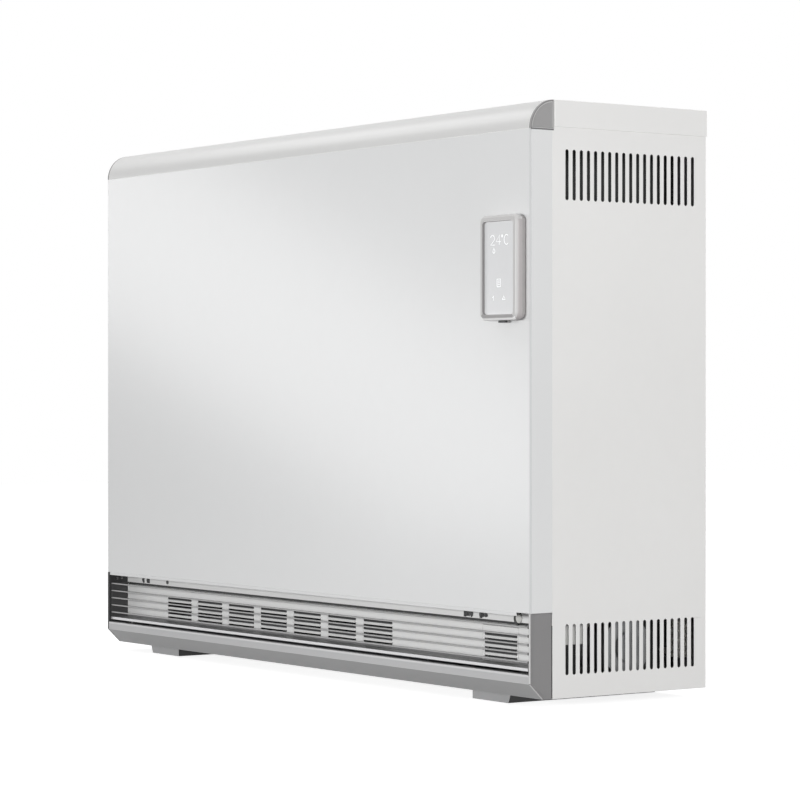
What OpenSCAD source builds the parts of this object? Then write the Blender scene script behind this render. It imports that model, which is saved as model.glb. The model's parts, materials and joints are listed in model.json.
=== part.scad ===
// Fan storage heater: steel casing on two floor feet, brick core, fan bay with outlet grille, control unit.
// Millimetres. +Z is up and the front faces -Y. The origin is on the floor, at the centre of the whole box.

/* [Casing] */
// Width over the side panels
casing_w = 926; // [890:1:1226]
// Depth from the front panel's face to the rear panel's face
casing_d = 250; // [245:1:270]
// Height without the feet
casing_h = 652; // [645:1:690]
// Thickness of the casing's sheet steel
sheet_t = 1; // [0.8:0.1:1.4]
// Width of the panels' inward flanges
flange_w = 12; // [8:1:14]
// How far the front panel's sides reach back
strip_d = 30; // [28:1:34]
// Bend radius at the front panel's vertical edges
edge_r = 2; // [1.5:0.1:3]
// Height of the front panel's lower edge above the casing's bottom
panel_z0 = 94.1; // [92:0.1:95.9]
// How far the hem under the front panel hangs down
hem_h = 4; // [2:0.1:5]
// How far the hem lies behind the front face
hem_y = 1.2; // [0.5:0.1:2]
// Distance from the casing's right end to the hem
hem_end = 27; // [20:1:60]
// Radius of the rounded profile along the top front edge
profile_r = 32.5; // [31:0.5:36]
// Wall of the rounded top profile
profile_t = 1.5; // [1:0.1:2.5]
// Depth of the top cover's skirt
skirt_h = 29.5; // [20:0.5:32]
// Thickness of the grey end caps at the top
cap_t = 3; // [2:0.1:5]
// Thickness of the grey end caps at the bottom
low_cap_t = 3.5; // [3:0.1:5]
// Depth of the lower end caps, front to back
low_cap_d = 29.4; // [27:0.1:29.8]
// Width of the raised rim on the end caps
cap_rim = 1.8; // [1:0.1:3]
// Depth of the face inside that rim
cap_recess = 0.5; // [0.2:0.1:1]

/* [Base trim] */
// Height of the base trim
trim_h = 27.5; // [26:0.5:29.5]
// Wall of the base trim
trim_t = 1.5; // [1:0.1:2]
// Height of the chamfer under the front edge
chamfer_z = 17.6; // [14:0.1:20]
// Depth of that chamfer
chamfer_y = 18; // [14:0.1:22]

/* [Side vents] */
// Number of slots in each row
vent_count = 19; // [10:1:19]
// Slot width
vent_w = 4.5; // [3:0.1:5.5]
// Slot length, with its round ends
vent_l = 55.5; // [30:0.5:60]
// First slot's centre, from the front face
vent_y0 = 50.3; // [48:0.1:56]
// Last slot's centre, from the rear face
vent_end = 19.7; // [17:0.1:24]
// Lower row's bottom, above the casing's bottom
vent_low_z = 25; // [18:0.5:32]
// Upper row's top, below the casing's top
vent_drop = 53.3; // [40:0.1:70]

/* [Feet] */
// Height of the feet
foot_h = 11; // [10:0.5:16]
// Width of a foot's front
foot_w = 71; // [56:1:80]
// Length of a foot, front to back
foot_l = 212; // [190:1:214]
// Distance from the casing's right end to the right foot
right_foot_inset = 73.5; // [60:0.5:90]
// Distance from the casing's left end to the left foot
left_foot_inset = 65.5; // [60:0.5:90]
// A foot's front, behind the front face
foot_y0 = 29; // [20:1:30]
// Plate thickness of a foot
foot_t = 2; // [1.5:0.1:3]
// How much narrower a foot's outer side is at the floor
foot_slope = 4.5; // [0:0.5:6]
// Radius of the floor fixing holes
floor_hole_r = 3.5; // [2.5:0.1:5]
// Distance between a foot's two floor fixing holes
floor_hole_l = 150; // [130:1:160]
// Distance between a foot's two bolts
foot_bolt_l = 80; // [60:1:100]
// Radius of a foot bolt
foot_bolt_r = 3; // [2.5:0.1:4]

/* [Grille] */
// Number of blades
blade_count = 5; // [3:1:5]
// Distance from blade to blade
blade_pitch = 9.55; // [8:0.05:9.6]
// Centre height of the top blade
blade_top_z = 78.6; // [77.6:0.1:80.4]
// Blade thickness
blade_t = 1.6; // [1:0.1:2.4]
// Blade depth, front to back
blade_d = 3; // [2:0.1:5]
// How far the blades' front edges lie behind the front face
grille_y0 = 3; // [2:0.5:5]
// Lower edge of the bottom rail
rail_z0 = 30.8; // [30.4:0.1:31.6]
// Height of the bottom rail
rail_h = 3.4; // [3.2:0.1:4]
// Wall of the grille's rail, shelf and ends
rail_t = 1.2; // [1:0.1:1.8]

/* [Air plate] */
// Distance of the air plate behind the front face
plate_y = 28.8; // [28:0.1:29]
// Louvre length
louvre_w = 60; // [40:1:66]
// Distance from louvre group to louvre group
louvre_pitch = 75.8; // [72:0.1:90]
// First outlet group, from the casing's left end
louvre_x0 = 109.6; // [80:0.1:120]
// Last outlet group's right end, at most this far from the casing's right end
louvre_reach = 300; // [280:1:340]
// Intake group, from the casing's right end
intake_x = 121.3; // [110:0.1:122]
// Louvre rows
louvre_rows = 3; // [1:1:3]
// Upper edge of the top louvre's opening
louvre_z = 64.8; // [62.8:0.1:66]
// Distance from louvre row to louvre row
louvre_row_pitch = 9.55; // [9:0.05:9.8]
// Height of the slot over a louvre's slat
upper_slot = 2.7; // [1:0.1:3]
// Height of the slat
slat_h = 2.7; // [2:0.1:3.2]
// Height of the slot under the slat
lower_slot = 2.3; // [1:0.1:2.6]
// How far the slat's lower edge stands out from the air plate
slat_out = 1.8; // [1:0.1:2.5]
// How far the slat's upper edge reaches back behind the air plate's face
slat_back = 5; // [3:0.1:5.5]
// Lower edge of the groove along the air plate
groove_z = 76.6; // [76.2:0.1:77.6]
// Height of the groove
groove_h = 3.2; // [2:0.1:3.4]
// Depth of the groove
groove_d = 3; // [2:0.1:4]
// Clearance round the filter cassette
filter_gap = 0.4; // [0.3:0.1:0.8]
// Depth of the filter cassette
filter_d = 8; // [6:0.5:12]

/* [Core] */
// Height of the fan bay under the core
fan_bay_h = 96; // [95.8:0.1:99]
// Width of the left side bay
left_bay = 28; // [26:1:40]
// Width of the right side bay, which holds the electrics
right_bay = 58; // [54:1:60]
// Sheet thickness of the inner frames
frame_t = 1; // [0.8:0.1:1.5]
// Width of the inner frames' flanges
frame_flange = 10; // [6:1:12]
// Sheet thickness of the core tray
tray_t = 1.5; // [1:0.1:2]
// Thickness of the front insulation
front_ins_t = 30; // [25:1:32]
// Thickness of the bottom insulation
bottom_ins_t = 30; // [25:1:32]
// Thickness of the rear insulation
rear_ins_t = 32; // [26:1:36]
// Thickness of the top insulation
top_ins_t = 35; // [30:1:40]
// Least thickness of the side insulation
side_ins_min = 40; // [30:1:42]
// Gap under the top cover
lid_gap = 8.5; // [6:0.5:12]
// Brick length with its joint
brick_pitch = 150; // [120:1:150]
// Joint between bricks
brick_joint = 0.4; // [0.2:0.1:1]
// Width of the air channels through a brick
channel_w = 20; // [12:1:26]
// Depth of each air channel, front to back
channel_d = 55; // [40:1:60]
// Radius of a heating element's tube
element_r = 4.25; // [3:0.05:5]
// Distance between an element's two legs
element_gap = 78; // [60:1:90]
// Clearance round an element
element_play = 0.5; // [0.3:0.1:1]

/* [Fan] */
// Fan axis behind the front face
fan_y = 150; // [145:1:155]
// Height of the fan housing's lowest line above the casing's bottom
scroll_low = 10; // [8:0.5:12]
// Height of the fan bay that the housing's bore leaves free
scroll_room = 18; // [17:0.5:20]
// Gap between the impellers and the fan housing
rotor_gap = 9; // [8:0.5:12]
// Blades of an impeller
rotor_blades = 24; // [12:1:30]
// Fan shaft radius
shaft_r = 4; // [3:0.1:5]
// Running clearance of the fan shaft
shaft_play = 0.06; // [0.02:0.01:0.1]
// How much smaller the motor's radius is than the fan housing's
motor_gap = 6; // [5:0.5:10]
// Motor length
motor_l = 36; // [28:0.5:38]
// Divider between outlet and intake, from the casing's right end
divider_x = 233; // [225:1:240]

/* [Mixing flap] */
// Flap depth, front to back
flap_d = 34; // [28:1:36]
// Flap sheet thickness
flap_t = 1.2; // [0.8:0.1:1.6]
// Flap shaft radius
flap_shaft_r = 3; // [2.5:0.1:3.5]
// Flap axis behind the front face
flap_y = 101; // [100:1:103]
// Length of the flap's lever
lever_l = 25; // [18:1:28]

/* [Control unit] */
// Width of the control unit
control_w = 67; // [58:0.5:72]
// Height of the control unit
control_h = 115; // [95:0.5:130]
// How far it stands out from the front panel
control_d = 15; // [13:0.5:20]
// Its distance from the casing's right end
control_inset = 6; // [5.5:0.5:20]
// Its lower end below the casing's top
control_drop = 240; // [200:1:300]
// How much narrower it is at the wall side, on each side
control_tuck = 2; // [1:0.1:2.5]
// Corner radius of its face
control_corner = 8; // [6:0.5:12]
// Rounding of its front edge
control_round = 4; // [2:0.5:5]
// Housing wall
control_wall = 2; // [1.5:0.1:2.5]
// Rim beside the display
display_rim = 6.5; // [5:0.1:8]
// Rim above the display
display_top = 7; // [4:0.1:10]
// Rim below the display
display_low = 6.5; // [4:0.1:9]
// Depth of the display under the rim
display_inset = 2.7; // [1:0.1:3]
// Thickness of the display
display_t = 1.6; // [1:0.1:2]

/* [Rear side] */
// Bore of the cable bush
bush_bore_r = 6.5; // [4:0.1:8]
// Cable bush from the casing's right end
bush_x = 29; // [27:1:31]
// Cable bush above the fan bay's top
bush_rise = 8; // [4:1:14]
// Radius of the wall fixing holes
wall_hole_r = 4; // [3:0.1:5]
// Distance between the wall fixing holes
wall_hole_l = 600; // [400:1:700]
// Wall fixing holes below the casing's top
wall_hole_drop = 60; // [45:1:90]
// Height of the panel screws' heads
head_h = 0.9; // [0.6:0.1:1]
// Radius of the panel screws' heads
head_r = 3.5; // [3:0.1:4]
// Radius of the panel screws' shanks
screw_r = 1.75; // [1.5:0.05:2]

/* [Hidden] */
$fn = 48;

// Gap between faces that must not touch, such as a moving piece and its seat.
gap = 0.3;
// A cutter reaches this far past the face that it opens.
past = 1;

panel_white = [0.90, 0.90, 0.89];
trim_grey = [0.60, 0.60, 0.60];
zinc = [0.72, 0.73, 0.74];
aluminium = [0.80, 0.80, 0.81];
fibre = [0.86, 0.84, 0.78];
brick_brown = [0.35, 0.28, 0.24];
dark_steel = [0.30, 0.29, 0.28];
plastic_black = [0.12, 0.12, 0.13];
plastic_pale = [0.92, 0.92, 0.90];
ceramic_white = [0.94, 0.93, 0.90];

// The casing, in the casing's own coordinates: X from its middle, Y from its front face, Z from its bottom.
half_w = casing_w / 2;
inner_x = half_w - sheet_t;
rear_in = casing_d - sheet_t;
lid_z = casing_h - sheet_t;
panel_z1 = casing_h - profile_r;
overall_d = control_d + casing_d + sheet_t + head_h;
front_y = control_d - overall_d / 2;

// The core and its frames
frame_x0 = -half_w + left_bay;
frame_x1 = half_w - right_bay;
core_x0 = frame_x0 + frame_t;
core_mid = (core_x0 + frame_x1) / 2;
brick_cols = floor((frame_x1 - core_x0 - 2 * side_ins_min) / brick_pitch);
core_w = brick_cols * brick_pitch;
brick_x0 = core_mid - core_w / 2;
brick_x1 = core_mid + core_w / 2;
ins_y0 = strip_d + sheet_t;
brick_y0 = ins_y0 + front_ins_t;
brick_y1 = rear_in - rear_ins_t;
brick_z0 = fan_bay_h + tray_t + bottom_ins_t;
bank_rows = 2;
bank_count = 3;
top_ins_z = lid_z - lid_gap;
core_top = top_ins_z - top_ins_t;
brick_h = (core_top - brick_z0) / (bank_rows * bank_count);
element_y = [(brick_y0 + brick_y1 - element_gap) / 2, (brick_y0 + brick_y1 + element_gap) / 2];
bend_x = brick_x0 + element_gap / 2 + element_r + 2;
channel_inset = 11;
turn_h = 6;
bush_r = 7.8;
bush_flange_r = 11;
bush_flange_t = 4;
bush_neck = 2;
stud_r = 2;
stud_l = 10;
sensor_r = 3;
sensor_head_r = 6;
sensor_y = (brick_y0 + brick_y1) / 2;
sensor_z = brick_z0 + bank_rows * brick_h;

// The air plate and what stands in it
shelf_z0 = rail_z0 + rail_h - rail_t;
plate_z0 = shelf_z0 - gap - sheet_t;
shelf_y1 = plate_y - 0.5;
grille_x = half_w - low_cap_t - gap;
blade_x = grille_x - rail_t;
plate_x = half_w - low_cap_t - gap;
groove_back = plate_y + groove_d + sheet_t;
first_louvre = -half_w + louvre_x0;
louvre_cols = floor((half_w - louvre_reach - first_louvre - louvre_w) / louvre_pitch) + 1;
intake_x0 = half_w - intake_x;
cassette_x0 = intake_x0 - 3.5;
cassette_x1 = intake_x0 + louvre_w + 2;
cassette_z0 = plate_z0 + 4;
cassette_z1 = groove_z - 3;
guide_t = 1;
stop_h = 3;
mesh_t = 0.6;

// The fan
scroll_r = (fan_bay_h - scroll_room) / 2;
scroll_t = 1;
fan_z = scroll_low + scroll_t + scroll_r;
rotor_r = scroll_r - rotor_gap;
motor_r = scroll_r - motor_gap;
divide_x = half_w - divider_x;
impeller_x0 = core_x0 + 60;
impeller_x1 = divide_x - 28;
bearing_w = 6;
impeller_mid = (impeller_x0 + impeller_x1) / 2;
impeller_space = 10;
disc_t = 2;
bearing_r = 9;
ramp_y = 70;
motor_plate_t = 2;
motor_x0 = frame_x1 + frame_t;
motor_x1 = motor_x0 + motor_plate_t + motor_l;
motor_boss_l = 5;

// The mixing flap
flap_z = fan_bay_h - flap_shaft_r - 2;
flap_x0 = impeller_x0 + 30;
flap_x1 = divide_x - 15;
flap_end_gap = 5;
ear_t = 2;
ear_r = 6;
opening_y0 = flap_y - flap_d + 6;
opening_y1 = opening_y0 + 26;
intake_y1 = brick_y1 - channel_inset;
intake_y0 = intake_y1 - 28;
lever_x = motor_x0 + 4;
lever_t = 4;
lever_h = 4;

// The control unit
control_z = casing_h - control_drop;
control_mid = control_z + control_h / 2;
control_hollow = control_tuck + control_wall;
control_x = half_w - control_inset - control_w / 2;
display_w = control_w - 2 * display_rim;
display_z0 = control_z + display_low;
display_z1 = control_z + control_h - display_top;
display_r = 4;
back_plate_t = 2.5;
lead_hole_r = 6;
lead_r = 3;

// The electrics in the right bay
bay_x = motor_x0;
trunk_x = bay_x + 26;
trunk_y = 160;
trunk_r = 5;
wire_r = 2.5;
cutout_y = 70;
cutout_w = 40;
cutout_h = 30;
cutout_d = 24;
cutout_gap = 5.5;
cutout_z = control_mid - lead_r - cutout_gap - cutout_h;
button_r = 4;
button_l = 9;
button_out = 5;
button_travel = 2.5;
board_box = [32, 82, 100];
board_gap = 2;
board_box_y = sensor_y - sensor_head_r - board_gap - board_box[1];
board_ways = 4;
board_box_z = brick_z0 + bank_rows * brick_h - board_box[2] / 2;
terminal_box = [22, 14, 50];
terminal_y = rear_in - 9 - terminal_box[1];
terminal_z = fan_bay_h - 62;
terminal_post = 18;
terminal_ways = 5;
module_box = [34, 42, 34];
module_y = ins_y0 + 11;
module_z = fan_bay_h - 39;
module_post = 12;
clamp_box = [46, 14, 22];
bush_z = fan_bay_h + bush_rise;
clamp_y = rear_in - 27;

// Shared shapes

module casing() {
    translate([0, front_y, foot_h]) children();
}

module block(x0, x1, y0, y1, z0, z1) {
    translate([x0, y0, z0]) cube([x1 - x0, y1 - y0, z1 - z0]);
}

// Extrudes a Y-Z outline along X.
module along_x(x0, x1) {
    translate([x0, 0, 0]) rotate([90, 0, 90]) linear_extrude(x1 - x0) children();
}

// Extrudes an X-Z outline along Y.
module along_y(y0, y1) {
    translate([0, y1, 0]) rotate([90, 0, 0]) linear_extrude(y1 - y0) children();
}

module rod_x(x0, x1, r, y, z) {
    translate([x0, y, z]) rotate([0, 90, 0]) cylinder(r = r, h = x1 - x0);
}

module rod_y(y0, y1, r, x, z) {
    translate([x, y1, z]) rotate([90, 0, 0]) cylinder(r = r, h = y1 - y0);
}

module rod_z(z0, z1, r, x, y) {
    translate([x, y, z0]) cylinder(r = r, h = z1 - z0);
}

module rounded(w, h, r) {
    translate([-w / 2 + r, 0]) square([w - 2 * r, h]);
    translate([-w / 2, r]) square([w, h - 2 * r]);
    for (sx = [-1, 1], z = [r, h - r]) translate([sx * (w / 2 - r), z]) circle(r);
}

module stadium(w, h) {
    translate([-w / 2, w / 2]) square([w, h - w]);
    for (z = [w / 2, h - w / 2]) translate([0, z]) circle(w / 2);
}

// Casing

// The chamfer's line moved inwards by t, as the share of the line's own intercepts.
function chamfer_share(t) = 1 + t * norm([chamfer_y, chamfer_z]) / (chamfer_y * chamfer_z);

// The air plate's groove stands out behind it, so the sheets there are notched.
module groove_room() {
    block(-plate_x - gap, plate_x + gap, strip_d - past, groove_back + gap, groove_z - sheet_t - gap,
        groove_z + groove_h + sheet_t + gap);
}

vent_pitch = (casing_d - vent_y0 - vent_end) / (vent_count - 1);
module side_outline() {
    difference() {
        translate([strip_d, 0]) square([casing_d - strip_d, lid_z]);
        translate([strip_d - past, panel_z1]) square([profile_r - strip_d + past, profile_r]);
        for (z = [vent_low_z, casing_h - vent_drop - vent_l], i = [0 : vent_count - 1])
            translate([vent_y0 + i * vent_pitch, z]) stadium(vent_w, vent_l);
    }
}

// Drawn for the right end. The left one is its mirror image.
module side_panel() {
    color(panel_white) casing() difference() {
        union() {
            along_x(inner_x, half_w) side_outline();
            for (f = [[strip_d, panel_z1], [rear_in - sheet_t, lid_z]])
                block(inner_x - flange_w, half_w - sheet_t / 2, f[0], f[0] + sheet_t, sheet_t, f[1]);
        }
        groove_room();
        rear_screw_sites() rod_y(-10, 10, screw_r + gap, 0, 0);
        lid_screw_sites() rod_y(-10, 10, screw_r + gap, 0, 0);
    }
}

module side_panel_right() side_panel();
module side_panel_left() mirror([1, 0, 0]) side_panel();

module front_plan(w, d, r) {
    translate([-w / 2, r]) square([w, d - r]);
    translate([-w / 2 + r, 0]) square([w - 2 * r, d]);
    for (s = [-1, 1]) translate([s * (w / 2 - r), r]) circle(r);
}

module front_panel() {
    color([0.86, 0.87, 0.88]) casing() difference() {
        union() {
            translate([0, 0, panel_z0]) linear_extrude(panel_z1 - panel_z0) difference() {
                front_plan(casing_w, strip_d, edge_r);
                translate([0, sheet_t]) front_plan(casing_w - 2 * sheet_t, strip_d, edge_r - sheet_t);
            }
            for (s = [-1, 1]) scale([s, 1, 1])
                block(inner_x - flange_w, half_w - sheet_t / 2, strip_d - sheet_t, strip_d, panel_z0,
                    panel_z1);
            for (z = [panel_z0, panel_z1 - sheet_t])
                translate([0, 0, z]) linear_extrude(sheet_t) front_plan(casing_w, flange_w, edge_r);
            block(-plate_x, half_w - hem_end, hem_y, hem_y + sheet_t, panel_z0 - hem_h,
                panel_z0 + sheet_t / 2);
        }
        rod_y(-past, sheet_t + past, lead_hole_r, control_x, control_mid);
    }
}

module top_cover() {
    color(panel_white) casing() difference() {
        block(-half_w - sheet_t, half_w + sheet_t, profile_r, casing_d + sheet_t, casing_h - skirt_h,
            casing_h);
        block(-half_w, half_w, profile_r + sheet_t, casing_d, casing_h - skirt_h - past, lid_z);
        block(-half_w, half_w, profile_r - past, profile_r + 2 * sheet_t, casing_h - skirt_h - past,
            top_ins_z + 1);
        for (s = [-1, 1]) scale([s, 1, 1])
            block(inner_x - gap, half_w, profile_r - past, profile_r + 2 * sheet_t, casing_h - skirt_h - past,
                lid_z);
        lid_screw_sites() rod_y(-10, 10, screw_r + gap, 0, 0);
    }
}

module profile_sector(r) {
    translate([profile_r, panel_z1]) intersection() {
        circle(r);
        translate([-profile_r, 0]) square(profile_r);
    }
}

module top_profile() {
    color(panel_white) casing() along_x(-half_w + cap_t, half_w - cap_t) difference() {
        profile_sector(profile_r);
        profile_sector(profile_r - profile_t);
    }
}

spigot_l = 10;
spigot_t = 2;
module top_end_cap() {
    color(trim_grey) casing() {
        difference() {
            along_x(half_w - cap_t, half_w) profile_sector(profile_r);
            along_x(half_w - cap_recess, half_w + past) intersection() {
                profile_sector(profile_r - cap_rim);
                translate([0, panel_z1 + cap_rim]) square([profile_r - cap_rim, profile_r]);
            }
        }
        along_x(half_w - cap_t - spigot_l, half_w - cap_t) difference() {
            profile_sector(profile_r - profile_t - gap / 2);
            profile_sector(profile_r - profile_t - spigot_t);
        }
    }
}

module top_end_cap_right() top_end_cap();
module top_end_cap_left() mirror([1, 0, 0]) top_end_cap();

module lower_end_cap() {
    share = chamfer_share(cap_rim);
    color([0.51, 0.50, 0.50]) casing() difference() {
        along_x(half_w - low_cap_t, half_w)
            polygon([[0, chamfer_z], [0, panel_z0], [low_cap_d, panel_z0], [low_cap_d, 0], [chamfer_y, 0]]);
        along_x(half_w - cap_recess, half_w + past)
            polygon([[cap_rim, chamfer_z * (share - cap_rim / chamfer_y)], [cap_rim, panel_z0 - cap_rim / 2],
                [low_cap_d + past, panel_z0 - cap_rim / 2], [low_cap_d + past, -past],
                [chamfer_y * (share + past / chamfer_z), -past]]);
        for (y = [12.5, 19.5])
            rod_x(half_w - low_cap_t - past, half_w - low_cap_t + 2, 1.2, y, panel_z0 - 9);
    }
}

module lower_end_cap_right() lower_end_cap();
module lower_end_cap_left() mirror([1, 0, 0]) lower_end_cap();

trim_lip = 10;
module base_trim() {
    share = chamfer_share(trim_t);
    color([0.66, 0.66, 0.66]) casing() along_x(-half_w + low_cap_t, half_w - low_cap_t)
        polygon([[0, trim_h], [0, chamfer_z], [chamfer_y, 0], [strip_d, 0], [strip_d, trim_t],
            [chamfer_y * (share - trim_t / chamfer_z), trim_t],
            [trim_t, chamfer_z * (share - trim_t / chamfer_y)],
            [trim_t, trim_h - trim_t], [trim_lip, trim_h - trim_t], [trim_lip, trim_h]]);
}

base_flange = 12;
module base_plate() {
    color(zinc) casing() difference() {
        union() {
            block(-inner_x, inner_x, strip_d, rear_in, 0, sheet_t);
            for (s = [-1, 1]) scale([s, 1, 1])
                block(inner_x - sheet_t, inner_x, strip_d + sheet_t, rear_in - sheet_t, sheet_t, base_flange);
        }
        foot_bolt_sites() rod_z(-past, sheet_t + past, foot_bolt_r + gap, 0, 0);
    }
}

screw_x = inner_x - flange_w / 2;
screw_z = [60, casing_h / 2, casing_h - 60];
module rear_screw_sites() {
    for (s = [-1, 1], z = screw_z) translate([s * screw_x, casing_d, z]) children();
}

module lid_screw_sites() {
    for (s = [-1, 1]) translate([s * screw_x, casing_d + sheet_t, casing_h - skirt_h / 2]) children();
}

bead_w = 14;
bead_h = 0.6;
bead_end = 150;
module rear_panel() {
    color(zinc) casing() difference() {
        block(-inner_x, inner_x, rear_in, casing_d, sheet_t, lid_z);
        rod_y(rear_in - past, casing_d + past, bush_bore_r + 4.6, half_w - bush_x, bush_z);
        for (s = [-1, 1])
            rod_y(rear_in - past, casing_d + past, wall_hole_r, s * wall_hole_l / 2,
                casing_h - wall_hole_drop);
        rear_screw_sites() rod_y(-10, 10, screw_r + gap, 0, 0);
        lid_screw_sites() rod_y(-10, 10, screw_r + gap, 0, 0);
        for (s = [-1, 0, 1])
            along_y(casing_d - bead_h, casing_d + past) translate([s * casing_w / 4, bead_end])
                stadium(bead_w, casing_h - 2 * bead_end);
    }
}

// Feet

// The feet's middles: the right foot, then the left one as its mirror image shows it.
foot_mid = [half_w - right_foot_inset - foot_w / 2, half_w - left_foot_inset - foot_w / 2];
boss_r = 9;
bolt_head_r = 5.5;
bolt_head_h = 4;
bolt_seat = 5;
nut_h = 5;
module foot_bolt_sites() {
    for (x = [foot_mid[0], -foot_mid[1]], d = [-1, 1])
        translate([x, foot_y0 + foot_l / 2 + d * foot_bolt_l / 2, 0]) children();
}

module foot_section(t) {
    polygon([[-foot_w / 2 + t, past * sign(t)], [foot_w / 2 - t, past * sign(t)],
        [foot_w / 2 - foot_slope - t, -foot_h + t], [-foot_w / 2 + t, -foot_h + t]]);
}

// Drawn for the right end: an open pressing with two bosses for its bolts.
module foot(middle_x) {
    middle_y = foot_y0 + foot_l / 2;
    color([0.57, 0.57, 0.57]) casing() translate([middle_x, 0, 0]) difference() {
        union() {
            difference() {
                along_y(foot_y0, foot_y0 + foot_l) foot_section(0);
                along_y(foot_y0 + foot_t, foot_y0 + foot_l - foot_t) foot_section(foot_t);
            }
            for (d = [-1, 1]) rod_z(-foot_h, 0, boss_r, 0, middle_y + d * foot_bolt_l / 2);
        }
        for (d = [-1, 1]) {
            rod_z(-foot_h - past, past, foot_bolt_r + gap, 0, middle_y + d * foot_bolt_l / 2);
            rod_z(-foot_h - past, -bolt_seat, bolt_head_r + gap, 0, middle_y + d * foot_bolt_l / 2);
            rod_z(-foot_h - past, -foot_h + foot_t + past, floor_hole_r, 0, middle_y + d * floor_hole_l / 2);
        }
    }
}

module foot_right() foot(foot_mid[0]);
module foot_left() mirror([1, 0, 0]) foot(foot_mid[1]);

module foot_bolts() {
    color(dark_steel) casing() foot_bolt_sites() {
        rod_z(-bolt_seat, sheet_t + nut_h + 2, foot_bolt_r, 0, 0);
        rod_z(-bolt_seat - bolt_head_h, -bolt_seat, bolt_head_r, 0, 0);
        translate([0, 0, sheet_t]) difference() {
            cylinder(r = foot_bolt_r * 1.9, h = nut_h, $fn = 6);
            translate([0, 0, -past]) cylinder(r = foot_bolt_r + 0.05, h = nut_h + 2 * past);
        }
    }
}

// Where the air plate's screws stand, from the casing's left and right ends.
plate_screw_share = 0.75;
left_screws = [46, 58, 109];
right_screws = [60, 119, 128, 148, 156];
plate_screw_x = [for (d = left_screws) -half_w + d, for (d = right_screws) half_w - d];
plate_screw_z = 84.5;
// The head faces -Y, or +Y where direction is positive.
module panel_screw(direction, l) {
    rod_y(direction > 0 ? -l : 0, direction > 0 ? 0 : l, screw_r, 0, 0);
    difference() {
        rod_y(direction > 0 ? 0 : -head_h, direction > 0 ? head_h : 0, head_r, 0, 0);
        for (w = [[1, head_r * 1.2], [head_r * 1.2, 1]])
            translate([-w[0] / 2, direction > 0 ? head_h / 2 : -head_h - past, -w[1] / 2])
                cube([w[0], head_h / 2 + past, w[1]]);
    }
}

module panel_screws() {
    color(dark_steel) casing() {
        rear_screw_sites() panel_screw(1, 8);
        lid_screw_sites() panel_screw(1, 8);
        for (x = plate_screw_x) translate([x, plate_y, plate_screw_z])
            scale([plate_screw_share, 1, plate_screw_share]) panel_screw(-1, 5);
    }
}

// Frames and core

module frame_sheet(x, side) {
    y1 = rear_in;
    block(x, x + frame_t, ins_y0, y1, sheet_t, top_ins_z);
    x0 = side > 0 ? x + frame_t : x - frame_flange;
    for (y = [ins_y0, y1 - frame_t]) block(x0, x0 + frame_flange, y, y + frame_t, sheet_t, top_ins_z);
}

module frame_left() {
    color(plastic_black) casing() difference() {
        frame_sheet(frame_x0, -1);
        groove_room();
        rod_x(frame_x0 - past, core_x0 + past, bearing_r + gap, fan_y, fan_z);
    }
}

module element_sites() {
    for (i = [0 : bank_count - 1], y = element_y) translate([0, y, element_z(i + 1)]) children();
}

module frame_right() {
    color(plastic_black) casing() difference() {
        frame_sheet(frame_x1, 1);
        groove_room();
        rod_x(frame_x1 - past, motor_x0 + past, shaft_r + 2, fan_y, fan_z);
        rod_x(frame_x1 - past, motor_x0 + past, flap_shaft_r + 1, flap_y, flap_z);
        rod_x(frame_x1 - past, motor_x0 + past, sensor_r + gap, sensor_y, sensor_z);
        element_sites() rod_x(frame_x1 - past, motor_x0 + past, bush_r + gap, 0, 0);
    }
}

module core_tray() {
    color(zinc) casing() difference() {
        union() {
            block(core_x0, frame_x1, ins_y0, rear_in, fan_bay_h, fan_bay_h + tray_t);
            for (x = [flap_x0 - flap_end_gap - ear_t, flap_x1 + flap_end_gap]) along_x(x, x + ear_t) {
                translate([flap_y, flap_z]) circle(ear_r);
                translate([flap_y - ear_r, flap_z]) square([2 * ear_r, fan_bay_h - flap_z]);
            }
        }
        core_openings(fan_bay_h - past, fan_bay_h + tray_t + past);
        rod_x(flap_x0 - 20, flap_x1 + 20, flap_shaft_r + shaft_play, flap_y, flap_z);
    }
}

module core_openings(z0, z1) {
    block(flap_x0 + 5, flap_x1 - 5, opening_y0, opening_y1, z0, z1);
    block(flap_x0 + 5, flap_x1 - 5, intake_y0, intake_y1, z0, z1);
}

sheet_overlap = frame_flange + 2;
module inner_front_sheet() {
    color(zinc) casing()
        block(frame_x0 - sheet_overlap, motor_x0 + sheet_overlap, strip_d, ins_y0, fan_bay_h + tray_t,
            top_ins_z);
}

module insulation_front() {
    color(fibre) casing() block(core_x0, frame_x1, ins_y0, brick_y0, brick_z0, core_top);
}

module insulation_rear() {
    color(fibre) casing() block(core_x0, frame_x1, brick_y1, rear_in, brick_z0, core_top);
}

module insulation_left() {
    color(fibre) casing() block(core_x0, brick_x0, brick_y0, brick_y1, brick_z0, core_top);
}

module insulation_right() {
    color(fibre) casing() difference() {
        block(brick_x1, frame_x1, brick_y0, brick_y1, brick_z0, core_top);
        element_sites() {
            rod_x(brick_x1 - past, frame_x1 + past, element_r + element_play, 0, 0);
            rod_x(frame_x1 - bush_neck - gap, frame_x1 + past, bush_r + gap, 0, 0);
        }
        rod_x(brick_x1 - past, frame_x1 + past, sensor_r + gap, sensor_y, sensor_z);
    }
}

module insulation_top() {
    color(fibre) casing() difference() {
        block(core_x0, frame_x1, ins_y0, rear_in, core_top, top_ins_z);
        block(brick_x0 + 20, brick_x1 - 20, brick_y0 + channel_inset, brick_y1 - channel_inset,
            core_top - past, core_top + turn_h);
    }
}

module insulation_bottom() {
    color(fibre) casing() difference() {
        block(core_x0, frame_x1, ins_y0, rear_in, fan_bay_h + tray_t, brick_z0);
        core_openings(fan_bay_h, brick_z0 + past);
    }
}

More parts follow.
